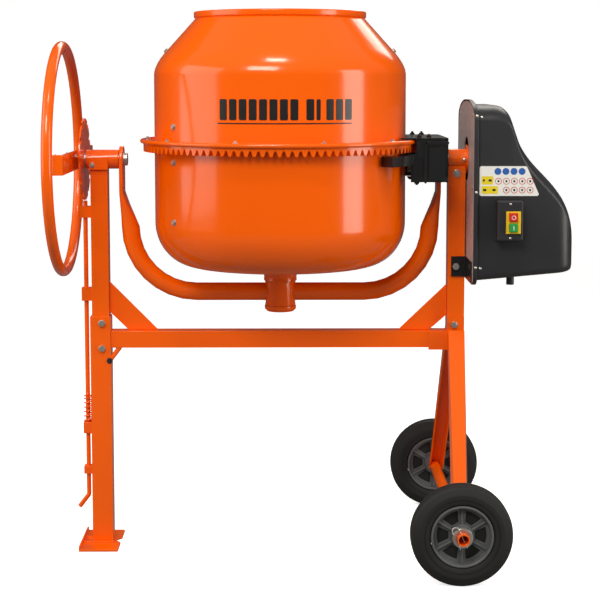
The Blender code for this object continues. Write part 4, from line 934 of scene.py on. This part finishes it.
class MIXER_OT_stand(bpy.types.Operator):
    """Bolts, welds, plug and peg of the stand"""

    bl_idname = "mixer.stand"
    bl_label = "Stand hardware"

    def execute(self, context):
        sizes = context.scene.mixer_sizes
        face, width = TUBE_HALF, sizes.bolt
        bm = bmesh.new()
        post_front = Vector((RIGHT_POST, -face, TILT_Z - 0.033))
        add_bolt(bm, post_front, (0, -1, 0), width * 0.85)
        add_bolt(bm, (RIGHT_POST, face, TILT_Z - 0.033), (0, 1, 0), width * 0.80, True, 0.004)
        add_dome(bm, (RIGHT_POST + 0.0165, -0.0236, TILT_Z - 0.001), (0, -1, 0), 0.0050, 0.0028)
        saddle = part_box("left_bearing_saddle")
        add_bolt(bm, (LEFT_POST - 0.002, saddle[0].y, TILT_Z - 0.013), (0, -1, 0), width * 0.58)
        for side in (-1, 1):
            add_dome(bm, (RIGHT_POST, side * (face + 0.0001), BEAM_Z - 0.001), (0, side, 0), 0.0062, 0.0030)
        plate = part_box("drive_back_plate")[0].x
        for y, z in ((0.118, 0.105), (0.140, -0.060), (0.120, -0.164)):
            for side in (-1, 1):
                add_dome(bm, (plate + 0.0001, side * y, TILT_Z + z), (-1, 0, 0), 0.0045, 0.0024)
        finish_mesh("stand_bolts", bm, "zinc_steel", "frame")
        bm = bmesh.new()
        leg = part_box("left_leg")
        plug = Vector((leg[1].x - 0.0026, leg[0].y + 0.0001, BEAM_Z - 0.0500))
        cap = [(0, 0), (0.0068, 0), (0.0070, 0.0012), (0.0058, 0.0026), (0.0020, 0.0030), (0, 0.0030)]
        add_turned(bm, cap, plug, (0, -1, 0), 28)
        finish_mesh("leg_plug", bm, "rubber", "frame")
        bm = bmesh.new()
        low_end = Vector((plug.x, plug.y + 0.0062, plug.z))
        high_end = Vector((plug.x + 0.0235, -0.012, BEAM_Z - face + 0.001))
        peg = [low_end, low_end.lerp(high_end, 0.06), low_end.lerp(high_end, 0.5), high_end]
        add_sweep(bm, peg, 0.0058, 20)
        finish_mesh("leg_peg", bm, "orange_paint", "frame")
        bm = bmesh.new()
        top = leg[0].z + 0.0008
        weld_bead(bm, [
            (leg[0].x, leg[0].y, top), (leg[1].x, leg[0].y, top), (leg[1].x, leg[1].y, top),
            (leg[0].x, leg[1].y, top), (leg[0].x, leg[0].y, top),
        ])
        for x, side in ((LEFT_POST + face, 1), (RIGHT_POST - face, -1)):
            for end in (-1, 1):
                z = BEAM_Z + end * face
                weld_bead(bm, [(x, -face, z), (x, face, z)], 0.0018)
        finish_mesh("stand_welds", bm, "orange_paint", "frame")
        return {"FINISHED"}


class MIXER_OT_spring(bpy.types.Operator):
    """Round-wire spring of the lock rod"""

    bl_idname = "mixer.spring"
    bl_label = "Lock spring"

    def execute(self, context):
        low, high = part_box("lock_spring")
        at = (low + high) / 2
        wire, turns, steps_a_turn = 0.0016, 6.5, 28
        flat, rising = 0.07, 0.86
        reach = (high.x - low.x) / 2 - wire - 0.0001
        start, run = low.z + wire, high.z - low.z - 2 * wire
        steps = int(turns * steps_a_turn)
        points = []
        for i in range(steps + 1):
            share = i / steps
            turn = 2 * math.pi * turns * share
            climb = min(max((share - flat) / rising, 0.0), 1.0)
            points.append((at.x + reach * math.cos(turn), at.y + reach * math.sin(turn), start + run * climb))
        bm = bmesh.new()
        add_sweep(bm, points, wire, 10)
        coil = finish_mesh("lock_spring_coil", bm, "orange_paint", None, ("lock_spring",), 60)
        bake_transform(coil)
        return {"FINISHED"}


class MIXER_OT_yoke(bpy.types.Operator):
    """Rings of the drum's hub, and the bolts and panels of the pinion's guard"""

    bl_idname = "mixer.yoke"
    bl_label = "Yoke hardware"

    def execute(self, context):
        sizes = context.scene.mixer_sizes
        low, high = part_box("drum_hub_housing")
        centre = (low + high) / 2
        bm = bmesh.new()
        radius = (high.x - low.x) / 2
        for rise, stand in ((high.z - 0.0012, 0.0012), (low.z + 0.0030, 0.0010)):
            inner, outer = radius - 0.0006, radius + stand
            section = [(inner, -0.002), (outer, -0.0016), (outer, 0.0012), (inner, 0.0018)]
            add_turned(bm, section, (centre.x, centre.y, rise), (0, 0, 1), 64, 0.0, True)
        finish_mesh("hub_rings", bm, "orange_paint", "yoke")
        bm = bmesh.new()
        low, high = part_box("pinion_guard")
        for x, y in ((0.318, -0.098), (0.340, -0.098), (0.318, 0.098), (0.340, 0.098)):
            add_bolt(bm, at_drum(x, y, high.z - TILT_Z - 0.0002), (0, 0, 1), sizes.bolt * 0.70, True, 0.004)
        # The side bolts and the panels stand at the jaws' outer reach, which is clear of the guard's body.
        for side in (-1, 1):
            at = Vector((high.x - 0.016, side * (high.y - 0.0001), low.z + 0.012))
            add_bolt(bm, at, (0, side, 0), sizes.bolt * 0.55)
            under = (high.x - 0.070, side * 0.100, low.z + 0.0001)
            add_bolt(bm, under, (0, 0, -1), sizes.bolt * 0.70, True, 0.003)
        finish_mesh("guard_bolts", bm, "black_paint", "yoke")
        bm = bmesh.new()
        for side in (-1, 1):
            face = side * (high.y - 0.0001)
            for x, z, wide, tall, thick in (
                (high.x - 0.034, (low.z + high.z) / 2 - 0.004, 0.036, 0.072, 0.0035),
                (high.x - 0.0675, high.z - 0.022, 0.018, 0.036, 0.0026),
                (high.x - 0.034, high.z - 0.0075, 0.052, 0.0055, 0.0055),
                (high.x - 0.0600, (low.z + high.z) / 2, 0.0050, 0.094, 0.0055),
            ):
                add_slab(bm, rounded_outline(wide, tall, 0.0024), thick, (x, face, z), (0, side, 0))
        finish_mesh("guard_panels", bm, "black_paint", "yoke")
        return {"FINISHED"}


# ---- carried-over solids ---------------------------------------------------------------------
# Bevel widths of the solids that don't take the general one. Those with 0 have no bevel.
FINE_EDGES = {
    "ring_gear_front": 0.0003, "ring_gear_rear": 0.0003, "pinion": 0.0003, "lock_spring": 0.0,
    "front_r_clip": 0.0, "rear_r_clip": 0.0, "switch_bezel": 0.0006, "stop_button": 0.0012,
    "start_button": 0.0012, "switch_box": 0.0018, "front_rim": 0.0012, "rear_rim": 0.0012,
    "drive_back_plate": 0.0004, "locking_disc": 0.0005, "electric_motor": 0.0016,
    "pinion_guard": 0.0010, "yoke_left_arm": 0.0008, "yoke_right_arm": 0.0008,
}

# Steel pieces that carry the stand's enamel.
PAINTED_OVER = {"wheel_axle": "orange_paint"}


class MIXER_OT_finishes(bpy.types.Operator):
    """Mixes the finishes, and gives every carried-over solid its finish and softened edges"""

    bl_idname = "mixer.finishes"
    bl_label = "Finishes"

    def execute(self, context):
        mix_paints(context.scene.mixer_colours)
        softened = context.scene.mixer_sizes.softened
        for name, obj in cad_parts.items():
            for place in obj.material_slots:
                slot = place.material.name.split(".")[0]
                if slot not in PAINTS:
                    raise RuntimeError(f"{name} has a material with no finish: {slot}")
                slot = PAINTED_OVER.get(name, slot)
                place.material = PAINTS[slot]
            obj.data.shade_smooth()
            join = obj.modifiers.new("join", "WELD")
            join.merge_threshold = 0.00001
            width = FINE_EDGES.get(name, softened)
            if width:
                soften = obj.modifiers.new("soften", "BEVEL")
                soften.width, soften.segments = width, 2
                soften.limit_method, soften.angle_limit = "ANGLE", math.radians(32)
                soften.harden_normals = False
            even = obj.modifiers.new("even", "WEIGHTED_NORMAL")
            even.keep_sharp = False
        return {"FINISHED"}


# ---- stage -----------------------------------------------------------------------------------
def studio_air():
    """White all round to look at, and dimmer as a light, most of it from above."""
    world = bpy.data.worlds.new("studio")
    world.use_nodes = True
    air = Finish("studio", world.node_tree)
    rise = air.node("ShaderNodeSeparateXYZ", {}, {"Vector": air.generated})["Z"]
    seen = air.node("ShaderNodeLightPath", {}, {})["Is Camera Ray"]
    glow = air.between(rise, -0.35, 0.9) * 0.30 + 0.06
    shine = {"Color": (1, 1, 1, 1), "Strength": seen + (1 - seen) * glow}
    white = air.node("ShaderNodeBackground", {}, shine)["Background"]
    air.node("ShaderNodeOutputWorld", {}, {"Surface": white})
    return world


def floor_paint():
    """Pale floor that throws back less light than it shows, so that undersides stay deep."""
    floor = Finish("floor_pale")
    cloud = floor.noise(1.5, 2.0)
    pale = floor.blend(cloud, (0.90, 0.895, 0.89, 1), (0.93, 0.925, 0.92, 1))
    shown = floor.node("ShaderNodeBsdfPrincipled", {}, {
        "Base Color": pale, "Roughness": 0.7, "Emission Color": (1, 1, 1, 1), "Emission Strength": 0.68,
    })["BSDF"]
    bounce = floor.node("ShaderNodeBsdfDiffuse", {}, {"Color": (0.22, 0.22, 0.22, 1)})["BSDF"]
    seen = floor.node("ShaderNodeLightPath", {}, {})["Is Camera Ray"]
    both = floor.node("ShaderNodeMixShader", {}, {0: seen, 1: bounce, 2: shown})["Shader"]
    floor.node("ShaderNodeOutputMaterial", {}, {"Surface": both})
    return floor.material


class MIXER_OT_stage(bpy.types.Operator):
    """Pale floor, soft studio lights and the camera"""

    bl_idname = "mixer.stage"
    bl_label = "Stage"

    def execute(self, context):
        scene = context.scene
        scene.view_settings.view_transform = "Standard"
        scene.world = studio_air()
        paint = floor_paint()
        bm = bmesh.new()
        front, back, bend, height = -6.0, 4.0, 3.0, 12.0
        turns = (math.radians(a) for a in range(6, 91, 6))
        sweep = [(front, 0.0), (back, 0.0)]
        sweep += [(back + bend * math.sin(t), bend - bend * math.cos(t)) for t in turns]
        sweep.append((back + bend, height))
        rows = [[bm.verts.new((x, y, z - 0.0005)) for y, z in sweep] for x in (-14.0, 14.0)]
        bridge(bm, rows[0], rows[1], False)
        mesh = bpy.data.meshes.new("studio_floor")
        bm.to_mesh(mesh)
        bm.free()
        mesh.shade_smooth()
        mesh.materials.append(paint)
        backdrop = bpy.data.objects.new("studio_floor", mesh)
        scene.collection.objects.link(backdrop)
        centre = Vector((0, 0, 0.7))
        for name, at, power, wide, tall in (
            ("key_light", (-1.0, -3.3, 3.3), 92, 1.7, 1.0),
            ("shoulder_light", (-0.2, -1.6, 3.8), 26, 0.7, 0.4),
            ("right_strip", (2.9, -1.3, 1.25), 52, 1.2, 2.2),
            ("left_wall", (-3.0, -0.7, 1.6), 44, 2.4, 2.4),
            ("rim_light", (0.6, 2.8, 2.8), 40, 3.0, 1.0),
        ):
            lamp = bpy.data.lights.new(name, "AREA")
            lamp.shape, lamp.size, lamp.size_y, lamp.energy = "RECTANGLE", wide, tall, power
            lamp.color = (1.0, 0.95, 0.86)
            light = bpy.data.objects.new(name, lamp)
            light.location = at
            light.rotation_euler = (centre - Vector(at)).to_track_quat("-Z", "Y").to_euler()
            scene.collection.objects.link(light)
        camera = bpy.data.cameras.new("camera")
        camera.sensor_width, camera.lens = 36.0, 92.67
        camera.shift_y = -0.11
        eye = bpy.data.objects.new("camera", camera)
        eye.location = at_drum(0.0148, -3.6289, 1.1060 - TILT_Z)
        eye.rotation_euler = (math.radians(90 - 5.711), 0, math.radians(-0.501))
        scene.collection.objects.link(eye)
        scene.camera = eye
        return {"FINISHED"}


STEPS = (
    MIXER_OT_finishes, MIXER_OT_drum, MIXER_OT_markings, MIXER_OT_drum_bolts, MIXER_OT_handwheel,
    MIXER_OT_wheels, MIXER_OT_cover, MIXER_OT_label, MIXER_OT_switch, MIXER_OT_stand, MIXER_OT_spring,
    MIXER_OT_yoke, MIXER_OT_stage,
)


class MIXER_PT_panel(bpy.types.Panel):
    """Sizes, colours and building steps of the mixer"""

    bl_label = "Concrete Mixer"
    bl_idname = "MIXER_PT_panel"
    bl_space_type = "VIEW_3D"
    bl_region_type = "UI"
    bl_category = "Mixer"

    def draw(self, context):
        layout = self.layout
        for group in (context.scene.mixer_sizes, context.scene.mixer_colours):
            box = layout.box()
            for key in group.__annotations__:
                box.prop(group, key)
        column = layout.column(align=True)
        for step in STEPS:
            column.operator(step.bl_idname)


CLASSES = (MixerSizes, MixerColours, *STEPS, MIXER_PT_panel)


def register():
    for cls in CLASSES:
        bpy.utils.register_class(cls)
    bpy.types.Scene.mixer_sizes = PointerProperty(type=MixerSizes)
    bpy.types.Scene.mixer_colours = PointerProperty(type=MixerColours)


def unregister():
    del bpy.types.Scene.mixer_colours
    del bpy.types.Scene.mixer_sizes
    for cls in reversed(CLASSES):
        bpy.utils.unregister_class(cls)


def main():
    register()
    for step in STEPS:
        group, name = step.bl_idname.split(".")
        getattr(getattr(bpy.ops, group), name)()


if __name__ == "__main__":
    main()
